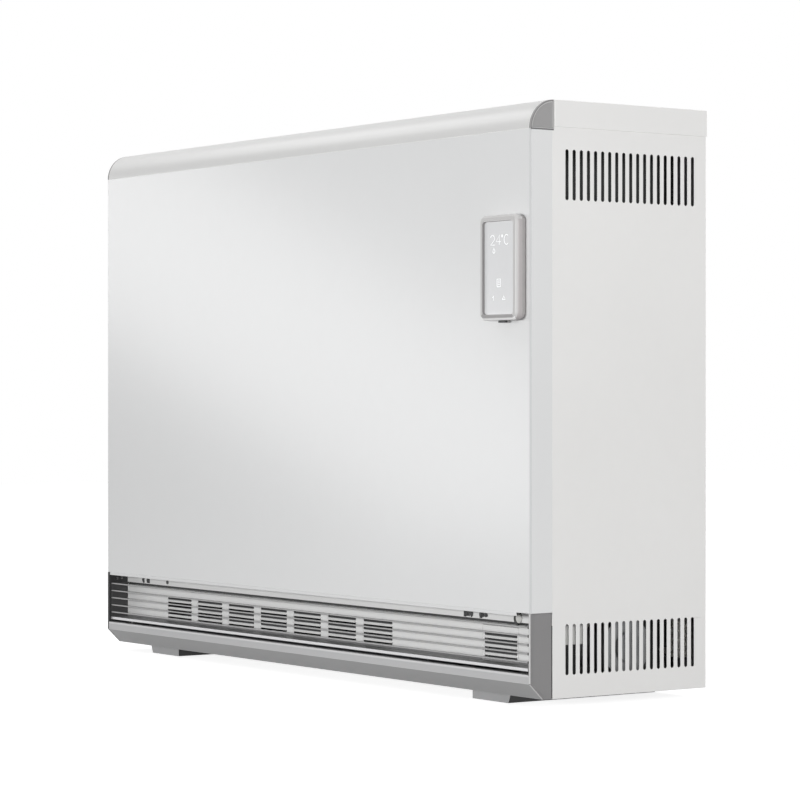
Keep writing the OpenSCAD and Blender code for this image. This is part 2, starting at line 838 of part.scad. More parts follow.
function element_z(i) = brick_z0 + (2 * i - 1) * brick_h;

// An element's run: two legs along X, joined by a half ring at the left end.
module hairpin(i, r, x1) {
    for (y = element_y) rod_x(bend_x, x1, r, y, element_z(i));
    translate([bend_x, (element_y[0] + element_y[1]) / 2, element_z(i)]) rotate([0, 0, 90])
        rotate_extrude(angle = 180) translate([element_gap / 2, 0]) circle(r);
}

module brick(x, z) {
    difference() {
        block(x + brick_joint / 2, x + brick_pitch - brick_joint / 2, brick_y0, brick_y1, z + brick_joint / 2,
            z + brick_h - brick_joint / 2);
        for (cx = [0.3, 0.7], y = [brick_y0 + channel_inset, brick_y1 - channel_inset - channel_d])
            block(x + cx * brick_pitch - channel_w / 2, x + cx * brick_pitch + channel_w / 2, y,
                y + channel_d, z - past, z + brick_h + past);
    }
}

module brick_bank(i) {
    z0 = brick_z0 + (i - 1) * bank_rows * brick_h;
    color(brick_brown) casing() difference() {
        for (c = [0 : brick_cols - 1], row = [0 : bank_rows - 1])
            brick(brick_x0 + c * brick_pitch, z0 + row * brick_h);
        hairpin(i, element_r + element_play, brick_x1 + past);
        rod_x(brick_x1 - sensor_l - gap, brick_x1 + past, sensor_r + gap, sensor_y, sensor_z);
    }
}

module brick_bank_1() brick_bank(1);
module brick_bank_2() brick_bank(2);
module brick_bank_3() brick_bank(3);

element_end = motor_x0 + bush_flange_t + 4;
module heating_element(i) {
    color(dark_steel) casing() {
        hairpin(i, element_r, element_end);
        for (y = element_y) rod_x(element_end - past, element_end + stud_l, stud_r, y, element_z(i));
    }
}

module heating_element_1() heating_element(1);
module heating_element_2() heating_element(2);
module heating_element_3() heating_element(3);

module element_bushes() {
    color(ceramic_white) casing() element_sites() difference() {
        union() {
            rod_x(motor_x0, motor_x0 + bush_flange_t, bush_flange_r, 0, 0);
            rod_x(frame_x1 - bush_neck, motor_x0 + past, bush_r, 0, 0);
        }
        rod_x(frame_x1 - bush_neck - past, motor_x0 + bush_flange_t + past, element_r + 0.1, 0, 0);
    }
}

sensor_l = 60;
module core_sensor() {
    color(zinc) casing() {
        rod_x(brick_x1 - sensor_l, motor_x0 + 12, sensor_r, sensor_y, sensor_z);
        rod_x(motor_x0 + gap, motor_x0 + 8, sensor_head_r, sensor_y, sensor_z);
    }
}

// Fan bay

// A louvre's slat is bent: it leans out below the bend and back above it. Its ends run into the plate.
slat_lap = 0.5;
module slats(x) {
    for (row = [0 : louvre_rows - 1]) {
        z = louvre_z - upper_slot - row * louvre_row_pitch;
        along_x(x - slat_lap, x + louvre_w + slat_lap)
            polygon([[plate_y - slat_out, z - slat_h], [plate_y, z], [plate_y + slat_back, z + upper_slot],
                [plate_y + slat_back, z + upper_slot - sheet_t], [plate_y + sheet_t, z - sheet_t],
                [plate_y - slat_out + sheet_t, z - slat_h]]);
    }
}

module louvre_windows(x) {
    for (row = [0 : louvre_rows - 1]) {
        z = louvre_z - row * louvre_row_pitch;
        block(x, x + louvre_w, plate_y - past, plate_y + sheet_t + past,
            z - upper_slot - slat_h - lower_slot, z);
    }
}

ledge_y0 = 12;
plate_notch_x = inner_x - flange_w - gap;
module air_plate() {
    color(plastic_pale) casing() {
        difference() {
            union() {
                block(-plate_x, plate_x, plate_y, plate_y + sheet_t, plate_z0, fan_bay_h);
                block(-plate_x, plate_x, plate_y + sheet_t / 2, groove_back, groove_z - sheet_t,
                    groove_z + groove_h + sheet_t);
            }
            block(-plate_x - past, plate_x + past, plate_y - past, plate_y + groove_d, groove_z,
                groove_z + groove_h);
            for (s = [-1, 1]) scale([s, 1, 1])
                block(plate_notch_x, plate_x + past, plate_y - past, plate_y + sheet_t + past, panel_z0 - gap,
                    fan_bay_h + past);
            for (i = [0 : louvre_cols - 1]) louvre_windows(first_louvre + i * louvre_pitch);
            block(cassette_x0 - filter_gap, cassette_x1 + filter_gap, plate_y - past,
                plate_y + sheet_t + past, cassette_z0 - filter_gap, cassette_z1 + filter_gap);
            for (x = plate_screw_x)
                rod_y(plate_y - past, plate_y + sheet_t + past, screw_r * plate_screw_share + 0.1, x,
                    plate_screw_z);
        }
        for (i = [0 : louvre_cols - 1]) slats(first_louvre + i * louvre_pitch);
        block(-plate_x, plate_x, ledge_y0, plate_y + sheet_t / 2, plate_z0, plate_z0 + sheet_t);
        block(-plate_notch_x, plate_notch_x, plate_y + sheet_t / 2, ins_y0 - gap, fan_bay_h - sheet_t,
            fan_bay_h);
        for (z = [cassette_z0 - filter_gap - guide_t, cassette_z1 + filter_gap])
            block(cassette_x0, cassette_x1, plate_y + sheet_t / 2, plate_y + filter_d + 3, z, z + guide_t);
        for (z = [cassette_z0 - filter_gap - guide_t, cassette_z1 + filter_gap + guide_t - stop_h])
            block(cassette_x0, cassette_x1, plate_y + filter_d + gap, plate_y + filter_d + gap + guide_t, z,
                z + stop_h);
    }
}

cassette_wall = 1.5;
module filter_cassette() {
    color(plastic_pale) casing() {
        difference() {
            block(cassette_x0, cassette_x1, plate_y, plate_y + filter_d, cassette_z0, cassette_z1);
            block(cassette_x0 + cassette_wall, cassette_x1 - cassette_wall, plate_y + sheet_t,
                plate_y + filter_d + past, cassette_z0 + cassette_wall, cassette_z1 - cassette_wall);
            louvre_windows(intake_x0);
        }
        slats(intake_x0);
    }
}

module filter_mesh() {
    color(plastic_black) casing()
        block(cassette_x0 + cassette_wall, cassette_x1 - cassette_wall, plate_y + filter_d - 2 * mesh_t,
            plate_y + filter_d - mesh_t, cassette_z0 + cassette_wall, cassette_z1 - cassette_wall);
}

module scroll_section() {
    translate([fan_y, fan_z]) difference() {
        circle(scroll_r + scroll_t);
        circle(scroll_r);
        polygon(scroll_r * [[0, 0], [2, 1.7], [2, 3], [-3, 3], [-3, -3], [0, -3]]);
    }
    translate([ramp_y, scroll_low]) square([fan_y - ramp_y, scroll_t]);
    polygon([[ramp_y, scroll_low], [ramp_y, scroll_low + scroll_t],
        [plate_y + sheet_t + gap, plate_z0 + scroll_t], [plate_y + sheet_t + gap, plate_z0]]);
}

leg_w = 40;
leg_d = 20;
leg_inset = 100;
module fan_housing() {
    color(zinc) casing() {
        along_x(core_x0, divide_x) scroll_section();
        for (x = [core_x0 + leg_inset, divide_x - leg_inset - leg_w])
            block(x, x + leg_w, fan_y - 2 * leg_d, fan_y - leg_d, sheet_t, scroll_low + scroll_t / 2);
    }
}

module duct_divider() {
    color(zinc) casing() difference() {
        union() {
            block(divide_x, divide_x + sheet_t, ins_y0, rear_in, sheet_t, fan_bay_h);
            block(divide_x + sheet_t, divide_x + base_flange, ins_y0, rear_in, sheet_t, 2 * sheet_t);
        }
        groove_room();
        rod_x(divide_x - past, divide_x + sheet_t + past, shaft_r + 2, fan_y, fan_z);
        rod_x(divide_x - past, divide_x + sheet_t + past, flap_shaft_r + 1, flap_y, flap_z);
    }
}

bearing_flange_r = 14;
bearing_flange_t = 2;
bearing_leg_w = 16;
module fan_bearings() {
    color(plastic_black) casing() {
        difference() {
            union() {
                rod_x(frame_x0 - 1, core_x0 + bearing_flange_t, bearing_r, fan_y, fan_z);
                rod_x(core_x0, core_x0 + bearing_flange_t, bearing_flange_r, fan_y, fan_z);
            }
            rod_x(frame_x0 - 2 - past, core_x0 + bearing_flange_t + past, shaft_r + shaft_play, fan_y, fan_z);
        }
        difference() {
            along_x(impeller_mid - bearing_flange_t, impeller_mid + bearing_flange_t) {
                translate([fan_y, fan_z]) circle(bearing_r + 2);
                translate([fan_y - bearing_leg_w / 2, scroll_low + scroll_t])
                    square([bearing_leg_w, fan_z - scroll_low - scroll_t]);
            }
            rod_x(impeller_mid - 5, impeller_mid + 5, shaft_r + shaft_play, fan_y, fan_z);
            along_x(impeller_mid - 5, impeller_mid + 5) translate([fan_y, fan_z]) difference() {
                circle(scroll_r + 5);
                circle(scroll_r - gap / 2);
            }
        }
    }
}

module fan_shaft() {
    color(zinc) casing() rod_x(frame_x0 - 2, motor_x1 - 4, shaft_r, fan_y, fan_z);
}

// One forward-curved blade: an arc about a point inside the rim.
blade_arc_t = 0.8;
module rotor_blade(l) {
    arc_r = rotor_r / 5;
    translate([rotor_r - 0.7 * arc_r, -0.75 * arc_r, 0]) rotate([0, 0, 55])
        rotate_extrude(angle = 80) translate([arc_r, 0]) square([blade_arc_t, l]);
}

module impeller(x0, x1) {
    l = x1 - x0;
    discs = 4;
    translate([x0, fan_y, fan_z]) rotate([90, 0, 90]) {
        for (i = [0 : rotor_blades - 1]) rotate([0, 0, i * 360 / rotor_blades]) rotor_blade(l);
        for (i = [0 : discs - 1]) translate([0, 0, i * (l - disc_t) / (discs - 1)]) difference() {
            cylinder(r = rotor_r, h = disc_t);
            translate([0, 0, -past]) cylinder(r = shaft_r + shaft_play, h = disc_t + 2 * past);
        }
    }
}

module impellers() {
    color(plastic_black) casing() {
        impeller(impeller_x0, impeller_mid - impeller_space);
        impeller(impeller_mid + impeller_space, impeller_x1);
    }
}

module fan_motor() {
    color(aluminium) casing() difference() {
        union() {
            rod_x(motor_x0, motor_x0 + motor_plate_t, motor_r + 6, fan_y, fan_z);
            rod_x(motor_x0, motor_x1, motor_r, fan_y, fan_z);
            rod_x(motor_x1 - past, motor_x1 + motor_boss_l, motor_r / 2, fan_y, fan_z);
        }
        rod_x(motor_x0 - past, motor_x1 + 1, shaft_r + shaft_play, fan_y, fan_z);
    }
}

module fan_module() {
    x0 = bay_x + module_post;
    color([0.75, 0.75, 0.74]) casing() {
        block(x0, x0 + module_box[0], module_y, module_y + module_box[1], module_z, module_z + module_box[2]);
        rod_x(bay_x, x0 + past, 4, module_y + module_box[1] / 2, module_z + module_box[2] / 2);
        for (i = [0 : 3]) block(x0 + 4, x0 + module_box[0] - 4, module_y + 4 + i * 8, module_y + 8 + i * 8,
            module_z + module_box[2] - past, module_z + module_box[2] + 3);
    }
}

module mixing_flap() {
    color(zinc) casing() {
        rod_x(flap_x0 - flap_end_gap - ear_t - 2, lever_x + lever_t + 2, flap_shaft_r, flap_y, flap_z);
        block(flap_x0, flap_x1, flap_y - flap_d, flap_y, flap_z + flap_shaft_r - flap_t - 0.3,
            flap_z + flap_shaft_r - 0.3);
        along_x(lever_x, lever_x + lever_t) {
            translate([flap_y, flap_z]) circle(flap_shaft_r + 2);
            translate([flap_y, flap_z - lever_h / 2]) square([lever_l, lever_h]);
        }
    }
}

strip_t = 0.8;
strip_w = 10;
strip_end = fan_y + motor_r + 2;
module flap_bimetal() {
    tip_y = flap_y + lever_l - 5;
    z = flap_z - lever_h / 2 - gap - 2;
    color([0.75, 0.68, 0.45]) casing() {
        block(motor_x0 + 2, motor_x0 + 2 + strip_w, tip_y - 2, strip_end, z - strip_t, z);
        rod_z(z - strip_t, z + 2, 1.5, lever_x + lever_t / 2, tip_y);
        block(motor_x0, motor_x0 + 2 + strip_w, strip_end - 8, strip_end, z, z + 6);
    }
}

// Electrics

module terminal_block() {
    x0 = bay_x + terminal_post;
    step = terminal_box[2] / terminal_ways;
    color(ceramic_white) casing() difference() {
        union() {
            block(x0, x0 + terminal_box[0], terminal_y, terminal_y + terminal_box[1], terminal_z,
                terminal_z + terminal_box[2]);
            for (z = [terminal_z + 6, terminal_z + terminal_box[2] - 6])
                rod_x(bay_x, x0 + past, 3.5, terminal_y + terminal_box[1] / 2, z);
        }
        for (i = [0 : terminal_ways - 1]) {
            z = terminal_z + (i + 0.5) * step;
            for (y = [terminal_y - past, terminal_y + terminal_box[1] - 9])
                rod_y(y, y + 10, 2.6, x0 + terminal_box[0] * 0.4, z);
            for (y = [terminal_y + 6, terminal_y + terminal_box[1] - 6])
                rod_x(x0 + terminal_box[0] - 6, x0 + terminal_box[0] + past, 2.2, y, z);
        }
        for (i = [1 : terminal_ways - 1])
            block(x0 + terminal_box[0] - 4, x0 + terminal_box[0] + past, terminal_y - past,
                terminal_y + terminal_box[1] + past, terminal_z + i * step - 0.6,
                terminal_z + i * step + 0.6);
    }
}

// A box with a row of terminals low down and a raised cover above them.
module charge_controller() {
    x1 = bay_x + board_box[0];
    step = board_box[1] / board_ways;
    cover_edge = board_box[1] / 8;
    color([0.80, 0.80, 0.78]) casing() {
        block(bay_x, x1, board_box_y, board_box_y + board_box[1], board_box_z, board_box_z + board_box[2]);
        for (i = [0 : board_ways - 1])
            block(x1, x1 + 8, board_box_y + (i + 0.1) * step, board_box_y + (i + 0.9) * step,
                board_box_z + 0.1 * board_box[2], board_box_z + 0.24 * board_box[2]);
        block(x1, x1 + 5, board_box_y + cover_edge, board_box_y + board_box[1] - cover_edge,
            board_box_z + 0.6 * board_box[2], board_box_z + 0.9 * board_box[2]);
    }
}

module safety_cutout() {
    middle_y = cutout_y + cutout_w / 2;
    middle_z = cutout_z + cutout_h / 2;
    color(plastic_black) casing() difference() {
        union() {
            block(bay_x, bay_x + cutout_d, cutout_y, cutout_y + cutout_w, cutout_z, cutout_z + cutout_h);
            rod_x(bay_x + cutout_d - past, bay_x + cutout_d + 3, button_r + 3, middle_y, middle_z);
        }
        rod_x(bay_x + cutout_d + 3 + button_out - button_l - button_travel - gap, bay_x + cutout_d + 3 + past,
            button_r + shaft_play, middle_y, middle_z);
    }
}

module reset_button() {
    x1 = bay_x + cutout_d + 3 + button_out;
    color([0.75, 0.12, 0.10]) casing()
        rod_x(x1 - button_l, x1, button_r, cutout_y + cutout_w / 2, cutout_z + cutout_h / 2);
}

bush_rim = 2;
bush_skirt = 6;
module cable_bush() {
    x = half_w - bush_x;
    color(plastic_black) casing() difference() {
        union() {
            rod_y(rear_in - bush_skirt, casing_d + sheet_t, bush_bore_r + 4.5, x, bush_z);
            rod_y(casing_d, casing_d + sheet_t, bush_bore_r + 4.5 + bush_rim, x, bush_z);
            rod_y(rear_in - 2, rear_in, bush_bore_r + 4.5 + bush_rim, x, bush_z);
        }
        rod_y(rear_in - bush_skirt - past, casing_d + sheet_t + past, bush_bore_r, x, bush_z);
    }
}

module cable_clamp() {
    color(ceramic_white) casing() difference() {
        union() {
            block(bay_x, bay_x + clamp_box[0], clamp_y, clamp_y + clamp_box[1], bush_z - clamp_box[2] / 2,
                bush_z + clamp_box[2] / 2);
            for (s = [-1, 1]) rod_z(bush_z + clamp_box[2] / 2 - past, bush_z + clamp_box[2] / 2 + 3, 3.5,
                half_w - bush_x + s * (bush_bore_r + 5), clamp_y + clamp_box[1] / 2);
        }
        rod_y(clamp_y - past, clamp_y + clamp_box[1] + past, bush_bore_r, half_w - bush_x, bush_z);
    }
}

// A wire that runs through points, with a slightly larger ball at each of its bends.
ball_share = 1.05;
module wire(points, r) {
    for (i = [0 : len(points) - 2]) {
        run = points[i + 1] - points[i];
        length = norm(run);
        translate(points[i]) rotate([0, acos(run[2] / length), atan2(run[1], run[0])])
            cylinder(r = r, h = length);
        if (i > 0) translate(points[i]) sphere(r = r * ball_share);
    }
}

module wiring_loom() {
    stud_x = element_end + stud_l + wire_r;
    block_top = terminal_z + terminal_box[2];
    trunk_z = fan_bay_h + 4 * trunk_r;
    trunk_foot = terminal_y - 3 * trunk_r;
    wire_drop = 6 * wire_r;
    module_z1 = module_z + module_box[2] / 2;
    color([0.85, 0.84, 0.80]) casing() {
        wire([[trunk_x, trunk_foot, block_top + 6], [trunk_x, trunk_y, trunk_z],
            [trunk_x, trunk_y, element_z(bank_count) + 8]], trunk_r);
        wire([[trunk_x, trunk_foot, block_top + 8], [trunk_x, trunk_foot + 2, block_top - 5],
            [trunk_x, terminal_y, block_top - 5]], wire_r);
        wire([[trunk_x, trunk_y, trunk_z + 8], [bay_x + motor_l / 2, fan_y, trunk_z - wire_drop],
            [bay_x + motor_l / 2, fan_y, fan_z + motor_r]], wire_r);
        wire([[trunk_x, trunk_y, trunk_z + 18],
            [trunk_x + wire_r, module_y + module_box[1] + wire_drop, module_z1],
            [trunk_x + wire_r, module_y + module_box[1], module_z1]], wire_r);
        for (i = [1 : bank_count]) {
            z = element_z(i);
            wire([[trunk_x, trunk_y, z], [stud_x, element_y[1], z]], wire_r);
            wire([[trunk_x, trunk_y, z - wire_drop], [stud_x, element_y[0] + wire_drop, z - wire_drop],
                [stud_x, element_y[0], z]], wire_r);
        }
        wire([[trunk_x, trunk_y, sensor_z + 16], [motor_x0 + 12 + wire_r, sensor_y, sensor_z]], wire_r);
        wire([[trunk_x, trunk_y, board_box_z + 20], [trunk_x, board_box_y + board_box[1], board_box_z + 20]],
            wire_r);
        wire([[trunk_x, trunk_y, cutout_z + 8], [bay_x + cutout_d / 2, trunk_y - 20, cutout_z + 8],
            [bay_x + cutout_d / 2, cutout_y + cutout_w, cutout_z + 8]], wire_r);
        wire([[trunk_x, trunk_y, control_mid], [control_x, trunk_y - 30, control_mid],
            [control_x, -back_plate_t, control_mid]], lead_r);
    }
}

// Grille

module grille_frame() {
    color(aluminium) casing() {
        block(-grille_x, grille_x, grille_y0, grille_y0 + rail_t, rail_z0, rail_z0 + rail_h);
        block(-grille_x, grille_x, grille_y0, shelf_y1, shelf_z0, shelf_z0 + rail_t);
        for (s = [-1, 1]) scale([s, 1, 1])
            block(blade_x, grille_x, grille_y0 + blade_t / 2, shelf_y1, shelf_z0, blade_top_z + blade_t / 2);
    }
}

module grille_blades() {
    color(aluminium) casing() for (i = [0 : blade_count - 1])
        along_x(-blade_x, blade_x) translate([grille_y0 + blade_t / 2, blade_top_z - i * blade_pitch]) {
            circle(blade_t / 2);
            translate([0, -blade_t / 2]) square([blade_d - blade_t / 2, blade_t]);
        }
}

// Control unit

module control_outline(inset) {
    translate([control_x, control_z + inset])
        rounded(control_w - 2 * inset, control_h - 2 * inset, control_corner - inset);
}

// The front edge is rounded in steps, each a slice that is a little smaller than the one behind it.
module control_shell() {
    steps = 6;
    hull() {
        along_y(-gap, 0) control_outline(control_tuck);
        along_y(-control_d / 3 - gap, -control_d / 3) control_outline(0);
    }
    hull() {
        along_y(-control_d / 2, -control_d / 3) control_outline(0);
        for (i = [0 : steps]) {
            a = i * 90 / steps;
            translate([0, -control_d + control_round * (1 - sin(a)), 0])
                along_y(0, 0.01) control_outline(control_round * (1 - cos(a)));
        }
    }
}

module display_outline(play) {
    translate([control_x, display_z0 - play])
        rounded(display_w + 2 * play, display_z1 - display_z0 + 2 * play, display_r);
}

module control_housing() {
    color([0.72, 0.71, 0.71]) casing() difference() {
        control_shell();
        along_y(-control_d + display_inset + display_t + 1.5, past) control_outline(control_hollow);
        along_y(-control_d - past, -control_d + display_inset + display_t + 2) display_outline(gap / 2);
    }
}

module control_display() {
    color([0.88, 0.89, 0.90]) casing() {
        along_y(-control_d + display_inset, -control_d + display_inset + display_t) display_outline(0);
    }
}

board_t = 1.6;
board_margin = control_hollow + 1;
module control_board() {
    y0 = -control_d + display_inset + display_t;
    color([0.10, 0.35, 0.22]) casing() {
        along_y(y0 + 3, y0 + 3 + board_t) control_outline(board_margin);
        for (z = [display_z0 + 8, display_z1 - 14], x = [-16, 10])
            block(control_x + x, control_x + x + 6, y0, y0 + 3, z, z + 6);
        block(control_x - 14, control_x + 14, y0 + 3 + board_t, y0 + 6, control_z + 26, control_z + 38);
    }
}

module control_back_plate() {
    color([0.85, 0.85, 0.84]) casing() difference() {
        along_y(-back_plate_t, 0) control_outline(control_hollow + 0.2);
        rod_y(-back_plate_t - past, past, lead_hole_r, control_x, control_mid);
    }
}

nub_w = 13;
nub_d = 6;
nub_h = 2.4;
module control_sensor() {
    color(plastic_black) casing() translate([control_x, -control_d / 2, control_z - nub_h])
        linear_extrude(nub_h) rotate([0, 0, 90]) translate([0, -nub_w / 2]) stadium(nub_d, nub_w);
}

base_plate();
rear_panel();
side_panel_left();
side_panel_right();
front_panel();
top_cover();
top_profile();
top_end_cap_left();
top_end_cap_right();
lower_end_cap_left();
lower_end_cap_right();
base_trim();
foot_left();
foot_right();
air_plate();
frame_left();
frame_right();
core_tray();
inner_front_sheet();
insulation_front();
insulation_rear();
insulation_left();
insulation_right();
insulation_top();
insulation_bottom();
brick_bank_1();
brick_bank_2();
brick_bank_3();
heating_element_1();
heating_element_2();
heating_element_3();
element_bushes();
fan_housing();
duct_divider();
fan_motor();
fan_bearings();
fan_module();
terminal_block();
charge_controller();
safety_cutout();
core_sensor();
flap_bimetal();
cable_bush();
cable_clamp();
wiring_loom();
panel_screws();
foot_bolts();
control_back_plate();
control_board();
control_housing();
control_display();
control_sensor();
grille_frame();
grille_blades();
fan_shaft();
impellers();
mixing_flap();
filter_cassette();
filter_mesh();
reset_button();
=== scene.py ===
import json
import math

import bmesh
import bpy
import numpy as np
from mathutils import Matrix, Vector


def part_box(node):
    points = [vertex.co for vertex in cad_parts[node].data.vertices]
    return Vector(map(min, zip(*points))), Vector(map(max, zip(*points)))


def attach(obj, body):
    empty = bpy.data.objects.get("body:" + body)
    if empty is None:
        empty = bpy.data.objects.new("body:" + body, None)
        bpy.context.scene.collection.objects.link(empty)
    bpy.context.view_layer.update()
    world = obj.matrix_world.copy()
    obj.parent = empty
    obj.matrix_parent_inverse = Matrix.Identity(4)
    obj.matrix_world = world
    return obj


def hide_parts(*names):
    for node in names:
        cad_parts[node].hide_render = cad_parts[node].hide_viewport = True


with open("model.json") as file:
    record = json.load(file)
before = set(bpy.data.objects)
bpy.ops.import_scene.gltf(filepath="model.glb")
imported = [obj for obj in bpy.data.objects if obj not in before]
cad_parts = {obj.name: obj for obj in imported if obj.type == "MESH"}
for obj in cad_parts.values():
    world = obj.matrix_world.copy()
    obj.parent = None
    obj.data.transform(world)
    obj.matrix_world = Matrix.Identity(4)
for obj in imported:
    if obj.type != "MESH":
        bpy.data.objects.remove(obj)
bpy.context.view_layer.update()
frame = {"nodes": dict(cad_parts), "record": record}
nodes = frame["nodes"]
bodyOf = {name: body for body, names in frame["record"]["behaviour"]["bodies"].items() for name in names}
slotOf = {part["node"]: part["material_slot"] for part in frame["record"]["subparts"]}
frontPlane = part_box("front_panel")[0].y
print("frame loaded:", len(nodes), "nodes")

# Camera

camera = {
    "place": (2.9576, -2.0474, 0.3409),
    "heading": 54.8518,  # degrees it is turned from looking along +Y towards -X
    "lens": 131.164,
    "sensor": 36.0,
    "shiftY": -0.00532,
}
cameraData = bpy.data.cameras.new("camera")
cameraData.lens = camera["lens"]
cameraData.sensor_width = camera["sensor"]
cameraData.shift_y = camera["shiftY"]
cameraData.clip_end = 60
cameraObject = bpy.data.objects.new("camera", cameraData)
cameraObject.location = camera["place"]
cameraObject.rotation_euler = (math.pi / 2, 0, math.radians(camera["heading"]))
bpy.context.scene.collection.objects.link(cameraObject)
bpy.context.scene.camera = cameraObject
bpy.context.scene.view_settings.view_transform = "Standard"


# Effects that several finishes share

effectSizes = {
    "quickRate": 14.0,  # the quick drift is this many times finer than the slow one
    "slowShare": 1.4,
    "quickShare": 0.6,
    "cellShare": 0.7,  # of a zinc flower's grey; the rest is fine noise
    "fineSize": 900.0,
    "dustSlope": 0.6,  # dust starts where the normal's upward part passes this
    "dustGain": 2.5,
}


def newGroup(name, inputs, outputs):
    # A shader node group; inputs and outputs give each socket's label and kind.
    group = bpy.data.node_groups.new(name, "ShaderNodeTree")
    for direction, sockets in (("INPUT", inputs), ("OUTPUT", outputs)):
        for label, kind in sockets.items():
            group.interface.new_socket(label, in_out=direction, socket_type="NodeSocket" + kind)
    entry = group.nodes.new("NodeGroupInput")
    leave = group.nodes.new("NodeGroupOutput")
    return group, entry, leave


def addNode(tree, kind, **values):
    made = tree.nodes.new(kind)
    for key, value in values.items():
        setattr(made, key, value)
    return made


def mathNode(tree, operation, first, second=None, clamp=False):
    # One Math node; each argument is a socket or a number.
    made = addNode(tree, "ShaderNodeMath", operation=operation, use_clamp=clamp)
    for index, value in enumerate((first, second)):
        if value is None:
            continue
        if isinstance(value, (int, float)):
            made.inputs[index].default_value = value
        else:
            tree.links.new(value, made.inputs[index])
    return made.outputs[0]


def noiseNode(tree, scale, detail, vector, roughness=0.5):
    made = addNode(tree, "ShaderNodeTexNoise")
    made.inputs["Detail"].default_value = detail
    made.inputs["Roughness"].default_value = roughness
    tree.links.new(vector, made.inputs["Vector"])
    if isinstance(scale, (int, float)):
        made.inputs["Scale"].default_value = scale
    else:
        tree.links.new(scale, made.inputs["Scale"])
    return made.outputs["Fac"]


def weighted(tree, first, firstShare, second, secondShare):
    return mathNode(tree, "ADD", mathNode(tree, "MULTIPLY", first, firstShare),
                    mathNode(tree, "MULTIPLY", second, secondShare))


def makeToneDrift():
    # Colour times (1 + amount * slow noise), where the noise runs from about -1 to 1.
    group, entry, leave = newGroup("toneDrift", {"Color": "Color", "Size": "Float", "Amount": "Float"},
                                   {"Color": "Color", "Mask": "Float"})
    place = addNode(group, "ShaderNodeTexCoord").outputs["Object"]
    slow = noiseNode(group, entry.outputs["Size"], 3, place)
    quickSize = mathNode(group, "MULTIPLY", entry.outputs["Size"], effectSizes["quickRate"])
    quick = noiseNode(group, quickSize, 2, place)
    both = weighted(group, slow, effectSizes["slowShare"], quick, effectSizes["quickShare"])
    swing = mathNode(group, "MULTIPLY", mathNode(group, "SUBTRACT", both, 1.0), 2.0)
    factor = mathNode(group, "MULTIPLY_ADD", swing, entry.outputs["Amount"])
    factor.node.inputs[2].default_value = 1.0
    scaled = addNode(group, "ShaderNodeVectorMath", operation="SCALE")
    group.links.new(entry.outputs["Color"], scaled.inputs[0])
    group.links.new(factor, scaled.inputs["Scale"])
    group.links.new(scaled.outputs[0], leave.inputs["Color"])
    group.links.new(slow, leave.inputs["Mask"])
    return group


def makePaintSkin():
    # Height of a sprayed or moulded skin: a wavy peel plus a fine grain, each with its own share.
    inputs = {"Peel Size": "Float", "Grain Size": "Float", "Grain Share": "Float"}
    group, entry, leave = newGroup("paintSkin", inputs, {"Height": "Float"})
    place = addNode(group, "ShaderNodeTexCoord").outputs["Object"]
    peel = noiseNode(group, entry.outputs["Peel Size"], 1, place)
    grain = noiseNode(group, entry.outputs["Grain Size"], 2, place, 0.7)
    mixed = addNode(group, "ShaderNodeMix")
    group.links.new(entry.outputs["Grain Share"], mixed.inputs[0])
    group.links.new(peel, mixed.inputs[2])
    group.links.new(grain, mixed.inputs[3])
    group.links.new(mixed.outputs[0], leave.inputs["Height"])
    return group


def makeSpangle():
    # Zinc flowers: each Voronoi cell takes one grey of its own, softened by a little noise.
    group, entry, leave = newGroup("spangle", {"Size": "Float", "Contrast": "Float"}, {"Mask": "Float"})
    place = addNode(group, "ShaderNodeTexCoord").outputs["Object"]
    cells = addNode(group, "ShaderNodeTexVoronoi")
    group.links.new(entry.outputs["Size"], cells.inputs["Scale"])
    group.links.new(place, cells.inputs["Vector"])
    grey = addNode(group, "ShaderNodeSeparateColor")
    group.links.new(cells.outputs["Color"], grey.inputs[0])
    fine = noiseNode(group, effectSizes["fineSize"], 2, place)
    both = weighted(group, grey.outputs[0], effectSizes["cellShare"], fine, 1 - effectSizes["cellShare"])
    swing = mathNode(group, "MULTIPLY", mathNode(group, "SUBTRACT", both, 0.5), entry.outputs["Contrast"])
    group.links.new(mathNode(group, "ADD", swing, 0.5, True), leave.inputs["Mask"])
    return group


def makeDrawnLines():
    # Lines along X from drawing or rolling: noise whose X is squeezed far more than its Y and Z.
    group, entry, leave = newGroup("drawnLines", {"Fine": "Float", "Long": "Float"}, {"Mask": "Float"})
    place = addNode(group, "ShaderNodeTexCoord").outputs["Object"]
    parts = addNode(group, "ShaderNodeSeparateXYZ")
    group.links.new(place, parts.inputs[0])
    stretched = addNode(group, "ShaderNodeCombineXYZ")
    for axis, rate in (("X", "Long"), ("Y", "Fine"), ("Z", "Fine")):
        scaled = mathNode(group, "MULTIPLY", parts.outputs[axis], entry.outputs[rate])
        group.links.new(scaled, stretched.inputs[axis])
    group.links.new(noiseNode(group, 1.0, 3, stretched.outputs[0], 0.6), leave.inputs["Mask"])
    return group


def makeSpecks():
    # Grains: Voronoi cells nearer to their centre than the size share give 1, the rest 0.
    group, entry, leave = newGroup("specks", {"Size": "Float", "Share": "Float"}, {"Mask": "Float"})
    place = addNode(group, "ShaderNodeTexCoord").outputs["Object"]
    cells = addNode(group, "ShaderNodeTexVoronoi")
    group.links.new(entry.outputs["Size"], cells.inputs["Scale"])
    group.links.new(place, cells.inputs["Vector"])
    soft = addNode(group, "ShaderNodeMapRange", interpolation_type="SMOOTHSTEP")
    group.links.new(cells.outputs["Distance"], soft.inputs["Value"])
    soft.inputs["From Min"].default_value = 0.0
    group.links.new(entry.outputs["Share"], soft.inputs["From Max"])
    soft.inputs["To Min"].default_value = 1.0
    soft.inputs["To Max"].default_value = 0.0
    group.links.new(soft.outputs[0], leave.inputs["Mask"])
    return group


